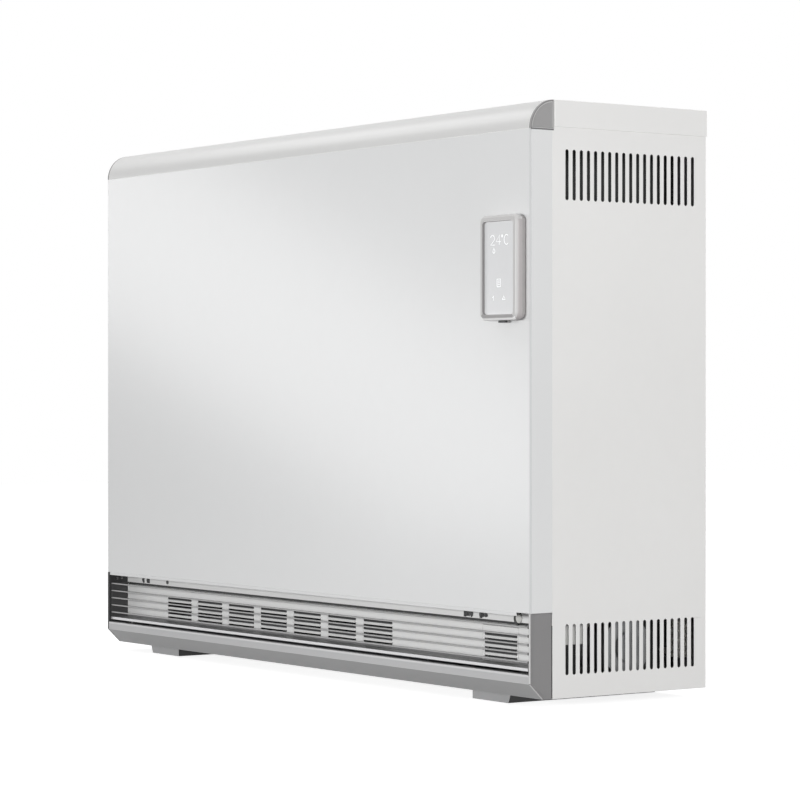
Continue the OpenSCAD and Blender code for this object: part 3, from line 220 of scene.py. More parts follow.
def makeSettledDust():
    # Dust lies where the surface faces up, broken up by noise.
    group, entry, leave = newGroup("settledDust", {"Amount": "Float", "Size": "Float"}, {"Mask": "Float"})
    place = addNode(group, "ShaderNodeTexCoord").outputs["Object"]
    upward = addNode(group, "ShaderNodeSeparateXYZ")
    group.links.new(addNode(group, "ShaderNodeNewGeometry").outputs["Normal"], upward.inputs[0])
    tilt = mathNode(group, "SUBTRACT", upward.outputs["Z"], effectSizes["dustSlope"])
    facing = mathNode(group, "MULTIPLY", tilt, effectSizes["dustGain"], True)
    patches = noiseNode(group, entry.outputs["Size"], 4, place)
    dusty = mathNode(group, "MULTIPLY", facing, patches)
    group.links.new(mathNode(group, "MULTIPLY", dusty, entry.outputs["Amount"], True), leave.inputs["Mask"])
    return group


effects = {"toneDrift": makeToneDrift(), "paintSkin": makePaintSkin(), "spangle": makeSpangle(),
           "drawnLines": makeDrawnLines(), "specks": makeSpecks(), "settledDust": makeSettledDust()}


def useEffect(tree, name, **values):
    made = tree.nodes.new("ShaderNodeGroup")
    made.node_tree = effects[name]
    for label, value in values.items():
        label = label.replace("_", " ")
        made.inputs[label].default_value = (*value, 1.0) if isinstance(value, tuple) else value
    return made


# Finishes, one for each material slot of the record

finishSettings = {
    "dust": (0.50, 0.48, 0.44),
    "dustPatches": 45.0,
    "dustRough": 2.0,
    "wornHighlitGain": 1.10,  # a rounded edge is this much lighter, plus the lift: a little wear and a painted highlight
    "wornHighlitLift": 0.02,
    "rubbedRough": 0.85,
    "flowerShare": 0.6,
    "flowerTint": 0.62,
    "lineFine": 2600.0,
    "lineLong": 10.0,
    "lineTint": 0.72,
    "lineGain": 3.0,
    "lineHeight": 0.6,
    "patternRough": 0.8,  # how strongly flowers and lines change the roughness
    "speckShare": 0.7,
    "speckHeight": 0.4,
    "threadTint": 0.25,
    "roughLow": 0.92,
    "roughHigh": 1.12,
    "unevenLow": 0.3,  # the sums of masks that give the lowest and the highest roughness
    "unevenHigh": 1.5,
}
finishes = {
    "casing_white": {"color": (0.80, 0.795, 0.785), "rough": 0.42, "drift": (5, 0.018),
                     "peel": (420, 1900, 0.35), "depth": 0.00003, "dust": 0.10},
    "front_satin": {"color": (0.76, 0.765, 0.767), "rough": 0.20, "drift": (4, 0.012),
                    "peel": (190, 1700, 0.12), "depth": 0.000012, "coat": 0.15, "coatRough": 0.16},
    "cap_grey": {"color": (0.29, 0.286, 0.286), "rough": 0.50, "drift": (18, 0.03),
                 "peel": (900, 2600, 0.6), "depth": 0.00006, "dust": 0.12},
    "low_cap_grey": {"color": (0.21, 0.2065, 0.208), "rough": 0.50, "drift": (18, 0.03),
                     "peel": (900, 2600, 0.6), "depth": 0.00006},
    "trim_metal": {"color": (0.50, 0.50, 0.505), "rough": 0.38, "drift": (7, 0.025),
                   "peel": (500, 2100, 0.3), "depth": 0.000025, "lines": 0.05},
    "grille_metal": {"color": (0.57, 0.57, 0.58), "rough": 0.36, "metallic": 0.55, "drift": (8, 0.025),
                     "peel": (700, 2500, 0.5), "depth": 0.00001, "lines": 0.10},
    "blade_metal": {"color": (0.40, 0.40, 0.40), "rough": 0.42, "drift": (8, 0.03),
                    "peel": (700, 2500, 0.5), "depth": 0.00001},
    "zinc_sheet": {"color": (0.58, 0.60, 0.62), "rough": 0.38, "metallic": 0.85, "drift": (10, 0.05),
                   "peel": (260, 1800, 0.3), "depth": 0.00003, "spangle": (95, 0.45), "dust": 0.12},
    # Near-black on the inner frames: painted shade for the dark inside of the casing seen through the slots.
    "black_sheet": {"color": (0.030, 0.030, 0.031), "rough": 0.55, "drift": (12, 0.10),
                    "peel": (600, 2000, 0.4), "depth": 0.00003, "dust": 0.15},
    "foot_metal": {"color": (0.36, 0.36, 0.365), "rough": 0.45, "drift": (20, 0.05),
                   "peel": (600, 2200, 0.4), "depth": 0.00003, "dust": 0.2},
    "air_plate_metal": {"color": (0.78, 0.78, 0.775), "rough": 0.40, "drift": (6, 0.02),
                        "peel": (420, 1900, 0.3), "depth": 0.00002},
    "board_fibre": {"color": (0.70, 0.67, 0.58), "rough": 0.90, "drift": (14, 0.07),
                    "peel": (160, 1200, 0.6), "depth": 0.0003,
                    "specks": (260, 0.25, (0.52, 0.47, 0.38))},
    "core_brick": {"color": (0.125, 0.082, 0.062), "rough": 0.88, "drift": (16, 0.16),
                   "peel": (220, 1300, 0.6), "depth": 0.0005,
                   "specks": (420, 0.30, (0.05, 0.035, 0.03))},
    "element_tube": {"color": (0.10, 0.095, 0.09), "rough": 0.42, "metallic": 0.8, "drift": (30, 0.18),
                     "peel": (700, 2500, 0.5), "depth": 0.00003},
    "bush_ceramic": {"color": (0.84, 0.82, 0.78), "rough": 0.45, "drift": (25, 0.03),
                     "peel": (800, 2600, 0.5), "depth": 0.00005,
                     "specks": (900, 0.12, (0.66, 0.62, 0.56))},
    "black_plastic": {"color": (0.022, 0.022, 0.024), "rough": 0.48, "drift": (25, 0.10),
                      "peel": (1100, 2800, 0.6), "depth": 0.00005, "dust": 0.10},
    "pale_plastic": {"color": (0.62, 0.62, 0.60), "rough": 0.45, "drift": (20, 0.03),
                     "peel": (1000, 2600, 0.6), "depth": 0.00004},
    "motor_metal": {"color": (0.27, 0.275, 0.28), "rough": 0.42, "metallic": 0.75, "drift": (25, 0.08),
                    "peel": (500, 2000, 0.6), "depth": 0.00008},
    "bimetal": {"color": (0.60, 0.48, 0.22), "rough": 0.34, "metallic": 0.9, "drift": (20, 0.08),
                "peel": (500, 2600, 0.5), "depth": 0.00002, "lines": 0.15},
    "steel": {"color": (0.56, 0.57, 0.58), "rough": 0.30, "metallic": 0.95, "drift": (20, 0.06),
              "peel": (600, 2600, 0.5), "depth": 0.00001, "lines": 0.15},
    "dark_steel": {"color": (0.13, 0.13, 0.13), "rough": 0.40, "metallic": 0.7, "drift": (40, 0.12),
                   "peel": (900, 2800, 0.5), "depth": 0.00003},
    "loom": {"color": (0.60, 0.58, 0.52), "rough": 0.72, "drift": (40, 0.06), "peel": (700, 1600, 0.5),
             "depth": 0.0002},
    "bush_rubber": {"color": (0.025, 0.025, 0.025), "rough": 0.62, "drift": (30, 0.12),
                    "peel": (900, 2600, 0.5), "depth": 0.00005, "dust": 0.15},
    "control_frame": {"color": (0.44, 0.415, 0.415), "rough": 0.42, "drift": (15, 0.02),
                      "peel": (700, 2600, 0.4), "depth": 0.000012, "coat": 0.12, "coatRough": 0.30},
    "control_glass": {"color": (0.72, 0.725, 0.735), "rough": 0.24, "drift": (12, 0.012),
                      "peel": (500, 2600, 0.3), "depth": 0.000006, "coat": 0.6, "coatRough": 0.12},
    "circuit_board": {"color": (0.012, 0.13, 0.055), "rough": 0.42, "drift": (60, 0.15),
                      "peel": (600, 2600, 0.4), "depth": 0.00004,
                      "specks": (700, 0.16, (0.42, 0.40, 0.30))},
    "mesh": {"color": (0.045, 0.045, 0.05), "rough": 0.75, "drift": (40, 0.12),
             "peel": (900, 2800, 0.5), "depth": 0.00006, "weave": 1100},
    "button_red": {"color": (0.40, 0.015, 0.012), "rough": 0.28, "drift": (60, 0.06),
                   "peel": (900, 2800, 0.5), "depth": 0.00002, "coat": 0.3, "coatRough": 0.15},
}


def blendColor(tree, factor, first, second):
    made = addNode(tree, "ShaderNodeMix", data_type="RGBA")
    tree.links.new(factor, made.inputs["Factor"])
    for socket, value in ((made.inputs[6], first), (made.inputs[7], second)):
        if isinstance(value, tuple):
            socket.default_value = (*value, 1.0)
        else:
            tree.links.new(value, socket)
    return made.outputs[2]


def makeFinish(name, recipe, wornHighlit=False):
    # Colour drift, the slot's own pattern, then dust. The masks steer the roughness, the skin the bump.
    size = finishSettings
    material = bpy.data.materials.new(name + ("Edge" if wornHighlit else ""))
    material.use_nodes = True
    tree = material.node_tree
    shader = tree.nodes["Principled BSDF"]
    base = recipe["color"]
    rough = recipe["rough"]
    # A lighter copy for rounded edges: a little wear and a painted highlight.
    if wornHighlit:
        base = tuple(min(1.0, channel * size["wornHighlitGain"] + size["wornHighlitLift"]) for channel in base)
        rough *= size["rubbedRough"]
    driftSize, driftAmount = recipe["drift"]
    drift = useEffect(tree, "toneDrift", Color=base, Size=float(driftSize), Amount=driftAmount)
    color = drift.outputs["Color"]
    uneven = drift.outputs["Mask"]
    peel, grain, share = recipe["peel"]
    skin = useEffect(tree, "paintSkin", Peel_Size=float(peel), Grain_Size=float(grain), Grain_Share=share)
    height = skin.outputs["Height"]
    if "spangle" in recipe:
        cells, contrast = recipe["spangle"]
        flowers = useEffect(tree, "spangle", Size=float(cells), Contrast=contrast).outputs["Mask"]
        factor = mathNode(tree, "MULTIPLY", flowers, size["flowerShare"])
        color = blendColor(tree, factor, color, tuple(c * size["flowerTint"] for c in base))
        uneven = mathNode(tree, "ADD", uneven, mathNode(tree, "MULTIPLY", flowers, size["patternRough"]))
    if "lines" in recipe:
        lines = useEffect(tree, "drawnLines", Fine=size["lineFine"], Long=size["lineLong"]).outputs["Mask"]
        factor = mathNode(tree, "MULTIPLY", lines, recipe["lines"] * size["lineGain"])
        color = blendColor(tree, factor, color, tuple(c * size["lineTint"] for c in base))
        uneven = mathNode(tree, "ADD", uneven, mathNode(tree, "MULTIPLY", lines, size["patternRough"]))
        height = mathNode(tree, "ADD", height, mathNode(tree, "MULTIPLY", lines, size["lineHeight"]))
    if "specks" in recipe:
        cells, share, tint = recipe["specks"]
        grains = useEffect(tree, "specks", Size=float(cells), Share=share).outputs["Mask"]
        color = blendColor(tree, mathNode(tree, "MULTIPLY", grains, size["speckShare"]), color, tint)
        height = mathNode(tree, "SUBTRACT", height, mathNode(tree, "MULTIPLY", grains, size["speckHeight"]))
    if "weave" in recipe:
        # Over and under threads: the product of two sine waves along X and Z.
        parts = addNode(tree, "ShaderNodeSeparateXYZ")
        tree.links.new(addNode(tree, "ShaderNodeTexCoord").outputs["Object"], parts.inputs[0])
        turns = recipe["weave"] * 2 * math.pi
        waves = [mathNode(tree, "SINE", mathNode(tree, "MULTIPLY", parts.outputs[axis], turns))
                 for axis in ("X", "Z")]
        threads = mathNode(tree, "MULTIPLY_ADD", mathNode(tree, "MULTIPLY", waves[0], waves[1]), 0.5)
        threads.node.inputs[2].default_value = 0.5
        color = blendColor(tree, threads, tuple(c * size["threadTint"] for c in base), color)
        height = mathNode(tree, "ADD", height, threads)
    if "dust" in recipe:
        settled = useEffect(tree, "settledDust", Amount=recipe["dust"], Size=size["dustPatches"])
        dusty = settled.outputs["Mask"]
        color = blendColor(tree, dusty, color, size["dust"])
        uneven = mathNode(tree, "ADD", uneven, mathNode(tree, "MULTIPLY", dusty, size["dustRough"]))
    span = addNode(tree, "ShaderNodeMapRange")
    tree.links.new(uneven, span.inputs["Value"])
    span.inputs["From Min"].default_value = size["unevenLow"]
    span.inputs["From Max"].default_value = size["unevenHigh"]
    span.inputs["To Min"].default_value = rough * size["roughLow"]
    span.inputs["To Max"].default_value = min(1.0, rough * size["roughHigh"])
    tree.links.new(span.outputs[0], shader.inputs["Roughness"])
    tree.links.new(color, shader.inputs["Base Color"])
    relief = addNode(tree, "ShaderNodeBump")
    relief.inputs["Strength"].default_value = 1.0
    relief.inputs["Distance"].default_value = recipe["depth"] * 2
    tree.links.new(height, relief.inputs["Height"])
    tree.links.new(relief.outputs[0], shader.inputs["Normal"])
    shader.inputs["Metallic"].default_value = recipe.get("metallic", 0.0)
    shader.inputs["Coat Weight"].default_value = recipe.get("coat", 0.0)
    shader.inputs["Coat Roughness"].default_value = recipe.get("coatRough", 0.1)
    return material


# Finishes of single faces that paint light and shade: painted shade deep in the outlet, in the slots and on
# undersides, painted highlights on rims and edges, and lit and shaded copies of the control unit's finish

accents = {
    "shade": {"color": (0.036, 0.036, 0.037), "rough": 0.60, "drift": (30, 0.10),
              "peel": (700, 2400, 0.5), "depth": 0.00002},
    "shelf": {"color": (0.20, 0.20, 0.203), "rough": 0.50, "drift": (9, 0.05),
              "peel": (600, 2400, 0.5), "depth": 0.00001, "lines": 0.12},
    "slatBackShade": {"color": (0.13, 0.13, 0.132), "rough": 0.55, "drift": (20, 0.08),
                 "peel": (700, 2400, 0.5), "depth": 0.00001},
    "slotWallShade": {"color": (0.05, 0.05, 0.05), "rough": 0.60, "drift": (30, 0.10),
                 "peel": (700, 2400, 0.5), "depth": 0.00001},
    "panelEdgeShade": {"color": (0.56, 0.565, 0.57), "rough": 0.62, "drift": (9, 0.02),
                  "peel": (420, 1900, 0.3), "depth": 0.00001},
    "capRimHighlight": {"color": (0.46, 0.455, 0.455), "rough": 0.45, "drift": (18, 0.03),
               "peel": (900, 2600, 0.6), "depth": 0.00003},
    "endPlateShade": {"color": (0.062, 0.062, 0.063), "rough": 0.60, "drift": (30, 0.14),
                 "peel": (700, 2400, 0.5), "depth": 0.00002},
    "profileShadedSkin": {"color": (0.68, 0.678, 0.673), "rough": 0.30, "drift": (5, 0.018),
                    "peel": (420, 1900, 0.3), "depth": 0.00002, "dust": 0.08},
    "trimUnderShade": {"color": (0.34, 0.34, 0.343), "rough": 0.42, "drift": (7, 0.03),
                  "peel": (500, 2100, 0.3), "depth": 0.00002, "lines": 0.05},
    "controlFrontLight": {"color": (0.55, 0.543, 0.54), "rough": 0.40, "drift": (15, 0.02),
                     "peel": (700, 2600, 0.4), "depth": 0.00001},
    "controlRimLight": {"color": (0.90, 0.895, 0.895), "rough": 0.34, "drift": (15, 0.02),
                   "peel": (700, 2600, 0.4), "depth": 0.00001, "coat": 0.2, "coatRough": 0.25},
    "controlShade": {"color": (0.32, 0.313, 0.313), "rough": 0.50, "drift": (15, 0.03),
                     "peel": (700, 2600, 0.4), "depth": 0.00001},
    "controlBackShade": {"color": (0.36, 0.345, 0.342), "rough": 0.48, "drift": (15, 0.03),
                    "peel": (700, 2600, 0.4), "depth": 0.00001},
    "rim": {"color": (0.66, 0.655, 0.655), "rough": 0.42, "drift": (18, 0.03),
            "peel": (900, 2600, 0.6), "depth": 0.00003},
    "footShade": {"color": (0.045, 0.045, 0.046), "rough": 0.60, "drift": (25, 0.08),
                  "peel": (600, 2200, 0.4), "depth": 0.00003},
    "trimEdgeHighlight": {"color": (0.66, 0.66, 0.665), "rough": 0.32, "drift": (7, 0.02),
                 "peel": (500, 2100, 0.3), "depth": 0.00001, "lines": 0.04},
}

surface = {slot: makeFinish(slot, recipe) for slot, recipe in {**finishes, **accents}.items()}
# The rounded edges take a lighter copy of each finish: a little wear and a painted highlight along them.
wornHighlitSlots = ("casing_white", "front_satin", "cap_grey", "low_cap_grey", "trim_metal", "grille_metal",
               "zinc_sheet", "foot_metal", "air_plate_metal", "blade_metal", "control_glass", "dark_steel")
wornHighlitEdge = {slot: makeFinish(slot, finishes[slot], True) for slot in wornHighlitSlots}
for name, piece in nodes.items():
    piece.data.materials.clear()
    piece.data.materials.append(surface[slotOf[name]])
print("finishes made:", len(surface) + len(wornHighlitEdge))


# Folded and moulded pieces with their edges rounded

outlet = {
    "plateFront": frontPlane + 0.0288,
    "grooveLow": 0.0876,
    "grooveHigh": 0.0908,
    "slack": 0.0001,  # room for rounding where the groove's faces are told by their place
    "slatBehind": 0.0003,  # a slat's back starts this far behind the plate
    "slatUnder": 0.002,  # and this far under the groove
    "screwDepth": 0.004,
    "shadeTop": 0.0470,  # under this height the air plate lies in the shade of the shelf
    "trimEdgeHighlight": 0.0362,  # above this height the trim's face gets a painted highlight, where its rounded top catches the light
    "leftEnd": -0.455,  # the grille's left end plate lies outside this
}
sideSlots = {
    "near": -0.073,  # the slots lie between these places, front to back
    "far": 0.117,
    "bands": [(0.033, 0.094), (0.550, 0.612)],  # and in these height bands
}
rimDepth = 0.00005  # faces within this of the top end caps' outer sides are their raised rims
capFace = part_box("top_end_cap_right")[1].x - rimDepth


def slatBackShade(spot, way):
    # The part of a louvre's slat that leans back behind the plate, which gets painted shade.
    behind = spot.y > outlet["plateFront"] + outlet["slatBehind"]
    return behind and spot.z < outlet["grooveLow"] - outlet["slatUnder"] and way.z > 0.5


def slotWallShade(spot, way):
    # The cut walls of the side panels' slots, which get painted shade.
    inBand = any(low < spot.z < high for low, high in sideSlots["bands"])
    return inBand and sideSlots["near"] < spot.y < sideSlots["far"] and abs(way.x) < 0.2


def innerFlange(spot, way):
    # The side panels' folded front edges beside the outlet.
    return way.y < -0.9 and spot.z < outlet["grooveHigh"]


def inGroove(spot, way):
    # The walls of the groove over the louvres.
    slack = outlet["slack"]
    level = outlet["grooveLow"] - slack < spot.z < outlet["grooveHigh"] + slack
    return level and spot.y > outlet["plateFront"] + slack


def endPlateShade(spot, way):
    # The grille's left end, which gets painted shade: its inner side, and its front above the shelf's shade.
    return spot.x < outlet["leftEnd"] and (way.x > 0.7 or way.y < -0.7 and spot.z > outlet["shadeTop"])


# Where a face gets another finish: heights at which the mesh is cut first, and tests of a face's centre and
# normal. The numbers beside a normal's parts say how squarely a face has to look that way, 1 being exactly.
faceRules = {
    "air_plate": ([outlet["shadeTop"]], [
        ("shade", inGroove),
        ("slatBackShade", slatBackShade),
        # Painted shade on the plate's lowest strip, under the shelf.
        ("shelf", lambda spot, way: spot.z < outlet["shadeTop"] and way.y < -0.7)]),
    "filter_cassette": ([], [("slatBackShade", slatBackShade)]),
    # Painted shade on the grille's left end and on its upward faces, the shelf's top among them.
    "grille_frame": ([], [("endPlateShade", endPlateShade), ("shelf", lambda spot, way: way.z > 0.7)]),
    # Painted shade on the left lower cap's inner side and front; a painted highlight on the right one's front
    # rim.
    "lower_end_cap_left": ([], [("shade", lambda spot, way: way.x > 0.7 or way.y < -0.9)]),
    "lower_end_cap_right": ([], [("rim", lambda spot, way: way.y < -0.3 and abs(way.x) < 0.1)]),
    # Painted shade on the side panels' slot walls and on their front flanges beside the outlet.
    "side_panel_left": ([outlet["grooveHigh"]], [("slotWallShade", slotWallShade), ("shade", innerFlange)]),
    "side_panel_right": ([outlet["grooveHigh"]], [("slotWallShade", slotWallShade), ("shade", innerFlange)]),
    # The front panel's rounded side edges get painted shade, a darker line where light would catch them.
    "front_panel": ([], [("panelEdgeShade", lambda spot, way: way.y < -0.12 and abs(way.x) > 0.12)]),
    # The top end caps' raised rims get a painted highlight.
    "top_end_cap_left": ([], [("capRimHighlight", lambda spot, way: way.x < -0.9 and spot.x < -capFace)]),
    "top_end_cap_right": ([], [("capRimHighlight", lambda spot, way: way.x > 0.9 and spot.x > capFace)]),
    "foot_left": ([], [("footShade", lambda spot, way: way.x > 0.7)]),
    "foot_right": ([], [("footShade", lambda spot, way: way.x > 0.7)]),
    "panel_screws": ([], [
        ("shade", lambda spot, way: spot.y < outlet["plateFront"] + outlet["screwDepth"])]),
    "base_trim": ([outlet["trimEdgeHighlight"]], [
        # The trim's top band gets a painted highlight.
        ("trimEdgeHighlight", lambda spot, way: way.y < -0.9 and spot.z > outlet["trimEdgeHighlight"]),
        # The trim's downward chamfer gets painted shade.
        ("trimUnderShade", lambda spot, way: way.y < -0.3 and way.z < -0.3)]),
    "base_plate": ([], [("shade", lambda spot, way: way.z < -0.5 or abs(way.x) > 0.5)]),
    # The top profile's front and top get a darker, glossier white: the darker colour is painted shade.
    "top_profile": ([], [("profileShadedSkin", lambda spot, way: way.y < -0.02 or way.z > 0.02)]),
}


softening = {
    "weld": 5e-6,
    "flat": 0.6,  # faces that meet at fewer degrees than this are joined
    "sharp": 30,  # and edges sharper than this are rounded
    "segments": 2,
}


def finishFaces(mesh, rules):
    # Each face takes the finish of the first rule that fits it, or keeps the mesh's first one.
    start = len(mesh.materials)
    for accent, test in rules:
        mesh.materials.append(surface[accent])
    for face in mesh.polygons:
        fitting = [number for number, (accent, test) in enumerate(rules) if test(face.center, face.normal)]
        face.material_index = start + fitting[0] if fitting else 0


def softened(name, width):
    # A merged copy of the node's mesh, flat faces joined, with its sharp edges rounded by the width.
    cuts, rules = faceRules.get(name, ([], []))
    shape = bmesh.new()
    shape.from_mesh(nodes[name].data)
    bmesh.ops.remove_doubles(shape, verts=shape.verts, dist=softening["weld"])
    bmesh.ops.dissolve_limit(shape, angle_limit=math.radians(softening["flat"]), verts=shape.verts,
                             edges=shape.edges)
    for height in cuts:
        everything = shape.verts[:] + shape.edges[:] + shape.faces[:]
        bmesh.ops.bisect_plane(shape, geom=everything, plane_co=(0, 0, height), plane_no=(0, 0, 1))
    mesh = bpy.data.meshes.new(name + ".soft")
    shape.to_mesh(mesh)
    shape.free()
    mesh.polygons.foreach_set("use_smooth", np.ones(len(mesh.polygons), bool))
    mesh.materials.clear()
    mesh.materials.append(surface[slotOf[name]])
    mesh.materials.append(wornHighlitEdge[slotOf[name]])
    finishFaces(mesh, rules)
    piece = bpy.data.objects.new(name + ".soft", mesh)
    bpy.context.scene.collection.objects.link(piece)
    rounding = piece.modifiers.new("rounding", "BEVEL")
    rounding.width = width / 1000
    rounding.segments = softening["segments"]
    rounding.limit_method = "ANGLE"
    rounding.angle_limit = math.radians(softening["sharp"])
    rounding.use_clamp_overlap = False
    rounding.material = 1 if name != "grille_frame" else -1  # the grille's edges keep the finish beside them
    rounding.miter_outer = "MITER_ARC"
    facing = piece.modifiers.new("facing", "WEIGHTED_NORMAL")  # flat faces stay flat beside the round ones
    facing.weight = 100
    facing.keep_sharp = True
    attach(piece, bodyOf[name])
    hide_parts(name)
    return piece


rounded = {  # width of the rounded edges, in millimetres
    "side_panel_left": 0.12, "side_panel_right": 0.12, "front_panel": 0.35, "top_cover": 0.45,
    "top_profile": 0.4, "top_end_cap_left": 0.6, "top_end_cap_right": 0.6, "lower_end_cap_left": 0.5,
    "lower_end_cap_right": 0.5, "base_trim": 0.4, "foot_left": 0.4, "foot_right": 0.4, "rear_panel": 0.25,
    "base_plate": 0.25, "air_plate": 0.2, "grille_frame": 0.3, "grille_blades": 0.3, "filter_cassette": 0.25,
    "panel_screws": 0.15, "control_display": 0.3,
}
for name, width in rounded.items():
    softened(name, width)
print("rounded pieces:", len(rounded))


# Control unit

def gridFaces(rings, perRing):
    # Quads between neighbouring closed rings of equal length.
    ring, spot = np.meshgrid(np.arange(rings - 1), np.arange(perRing), indexing="ij")
    after = (spot + 1) % perRing
    near = ring * perRing
    far = near + perRing
    return np.stack([near + spot, near + after, far + after, far + spot], -1).reshape(-1, 4)


def meshPiece(name, points, faces, slot, body, smooth=True):
    mesh = bpy.data.meshes.new(name)
    mesh.from_pydata(points.tolist(), [], faces)
    mesh.polygons.foreach_set("use_smooth", np.full(len(mesh.polygons), smooth))
    mesh.update()
    mesh.materials.append(surface[slot])
    piece = bpy.data.objects.new(name, mesh)
    bpy.context.scene.collection.objects.link(piece)
    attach(piece, body)
    return piece


housingLow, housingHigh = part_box("control_housing")
displayLow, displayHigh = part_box("control_display")
controlFrame = {
    "corner": 0.0080,
    "displayCorner": 0.0042,
    "tuckDepth": 0.0064,  # length of the back part that narrows towards the panel
    "tuck": 0.0021,
    "foot": (0.92, 0.0012),  # share of the tuck that is left at this distance from the panel
    "ease": 0.0002,
    "frontRound": 0.0036,
    "frontSteps": 9,
    "reveal": 0.0004,  # gap round the display
    "lip": 0.00025,
    "lipSteps": [(1.6, 0.0), (0.5, 0.4), (0.0, 1.6)],  # outwards and inwards, in lips
    "recess": 0.0052,
    "perCorner": 12,
}


def controlRings(size):
    # Each ring is a rounded rectangle: corner centres plus radius times (cos, sin). Its inset and depth
    # follow the profile: narrow at the wall, full width along the side, a quarter round at the front, then
    # straight down into the recess.
    depth = housingHigh.y - housingLow.y
    tuck, tuckDepth, ease = size["tuck"], size["tuckDepth"], size["ease"]
    share, foot = size["foot"]
    profile = [(tuck, 0.0), (tuck * share, foot), (ease, tuckDepth - ease), (0.0, tuckDepth + 2 * ease)]
    for turn in np.linspace(0, math.pi / 2, size["frontSteps"]):
        inwards = size["frontRound"] * (1 - math.cos(turn))
        profile.append((inwards, depth - size["frontRound"] * (1 - math.sin(turn))))
    outer = (housingLow.x, housingHigh.x, housingLow.z, housingHigh.z, size["corner"])
    gap = size["reveal"]
    inner = (displayLow.x - gap, displayHigh.x + gap, displayLow.z - gap, displayHigh.z + gap,
             size["displayCorner"])
    rings = [(outer[0] + i, outer[1] - i, outer[2] + i, outer[3] - i, outer[4] - i, y) for i, y in profile]
    lip = size["lip"]
    steps = [(lip * out, depth - lip * down) for out, down in size["lipSteps"]]
    for grow, y in steps + [(0.0, depth - size["recess"])]:
        rings.append((inner[0] - grow, inner[1] + grow, inner[2] - grow, inner[3] + grow, inner[4] + grow, y))
    rings = np.array(rings)
    corner, step = np.divmod(np.arange(4 * size["perCorner"]), size["perCorner"])
    angle = (corner + step / (size["perCorner"] - 1)) * math.pi / 2
    right = np.isin(corner, (0, 3))
    high = corner < 2
    x0, x1, z0, z1, r, y = (rings[:, k:k + 1] for k in range(6))
    x = np.where(right, x1 - r, x0 + r) + r * np.cos(angle)
    z = np.where(high, z1 - r, z0 + r) + r * np.sin(angle)
    return np.stack([x, np.broadcast_to(housingHigh.y - y, x.shape), z], -1)


ringPoints = controlRings(controlFrame)
ringCount, ringSize = ringPoints.shape[:2]
controlFaces = gridFaces(ringCount, ringSize).tolist()
controlFaces.append(list(range(ringSize))[::-1])
controlFaces.append([(ringCount - 1) * ringSize + k for k in range(ringSize)])
controlFrameObject = meshPiece("controlFrame", ringPoints.reshape(-1, 3), controlFaces, "control_frame",
                               bodyOf["control_housing"])
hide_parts("control_housing")
controlZones = {
    "back": 0.0062,  # faces nearer to the front panel than this belong to the narrow back part
    "step": 0.0002,  # faces lower than this over the display's edge lie under it
}


def controlShaded(spot, way):
    # The recess's left wall, and the front's flat strip under the display, which get painted shade.
    leftWall = way.x > 0.3 and spot.x < displayLow.x + controlFrame["displayCorner"]
    under = spot.z < displayLow.z + controlZones["step"]
    return leftWall or under and way.y < -0.97 and spot.x < displayHigh.x


# Painted shade on the back, left wall and strip under the display; painted light on the front, top and lower
# rounding.
finishFaces(controlFrameObject.data, [
    ("controlBackShade", lambda spot, way: housingHigh.y - spot.y < controlZones["back"]),
    ("controlShade", controlShaded),
    ("controlRimLight", lambda spot, way: way.y < -0.1 and way.z < -0.3 and abs(way.x) < 0.5),
    ("controlFrontLight", lambda spot, way: way.y < -0.35 or way.z > 0.3)])

displayMarks = {
    "stroke": 0.00090,
    "thinShare": 0.62,  # of the stroke, for the list's rows
    "thick": 0.00010,
    "lift": 0.00006,  # over the display's face
    "left": 0.0109,  # from the display's left edge to the first digit
    "digitLow": 0.5054,
    "digitHigh": 0.5161,
    "color": (0.95, 0.96, 0.97),
    "glow": 0.24,
}


def arc(x, z, rx, rz, start, stop, count=18):
    # Points of an ellipse from the start to the stop angle, in degrees.
    a = np.radians(np.linspace(start, stop, count))
    return np.stack([x + rx * np.cos(a), z + rz * np.sin(a)], -1)


def ribbon(line, width):
    # A flat band along a line: each point moved by half the width along the line's normal, to both sides.
    line = np.asarray(line, float)
    along = np.gradient(line, axis=0)
    along /= np.linalg.norm(along, axis=1)[:, None]
    across = np.stack([-along[:, 1], along[:, 0]], -1) * width / 2
    points = np.concatenate([line + across, line - across])
    count = len(line)
    start = np.arange(count - 1)
    faces = np.stack([start, start + 1, start + 1 + count, start + count], -1)
    return points, faces


def path(x, z, *steps):
    return np.array([[x + right, z + up] for right, up in steps])


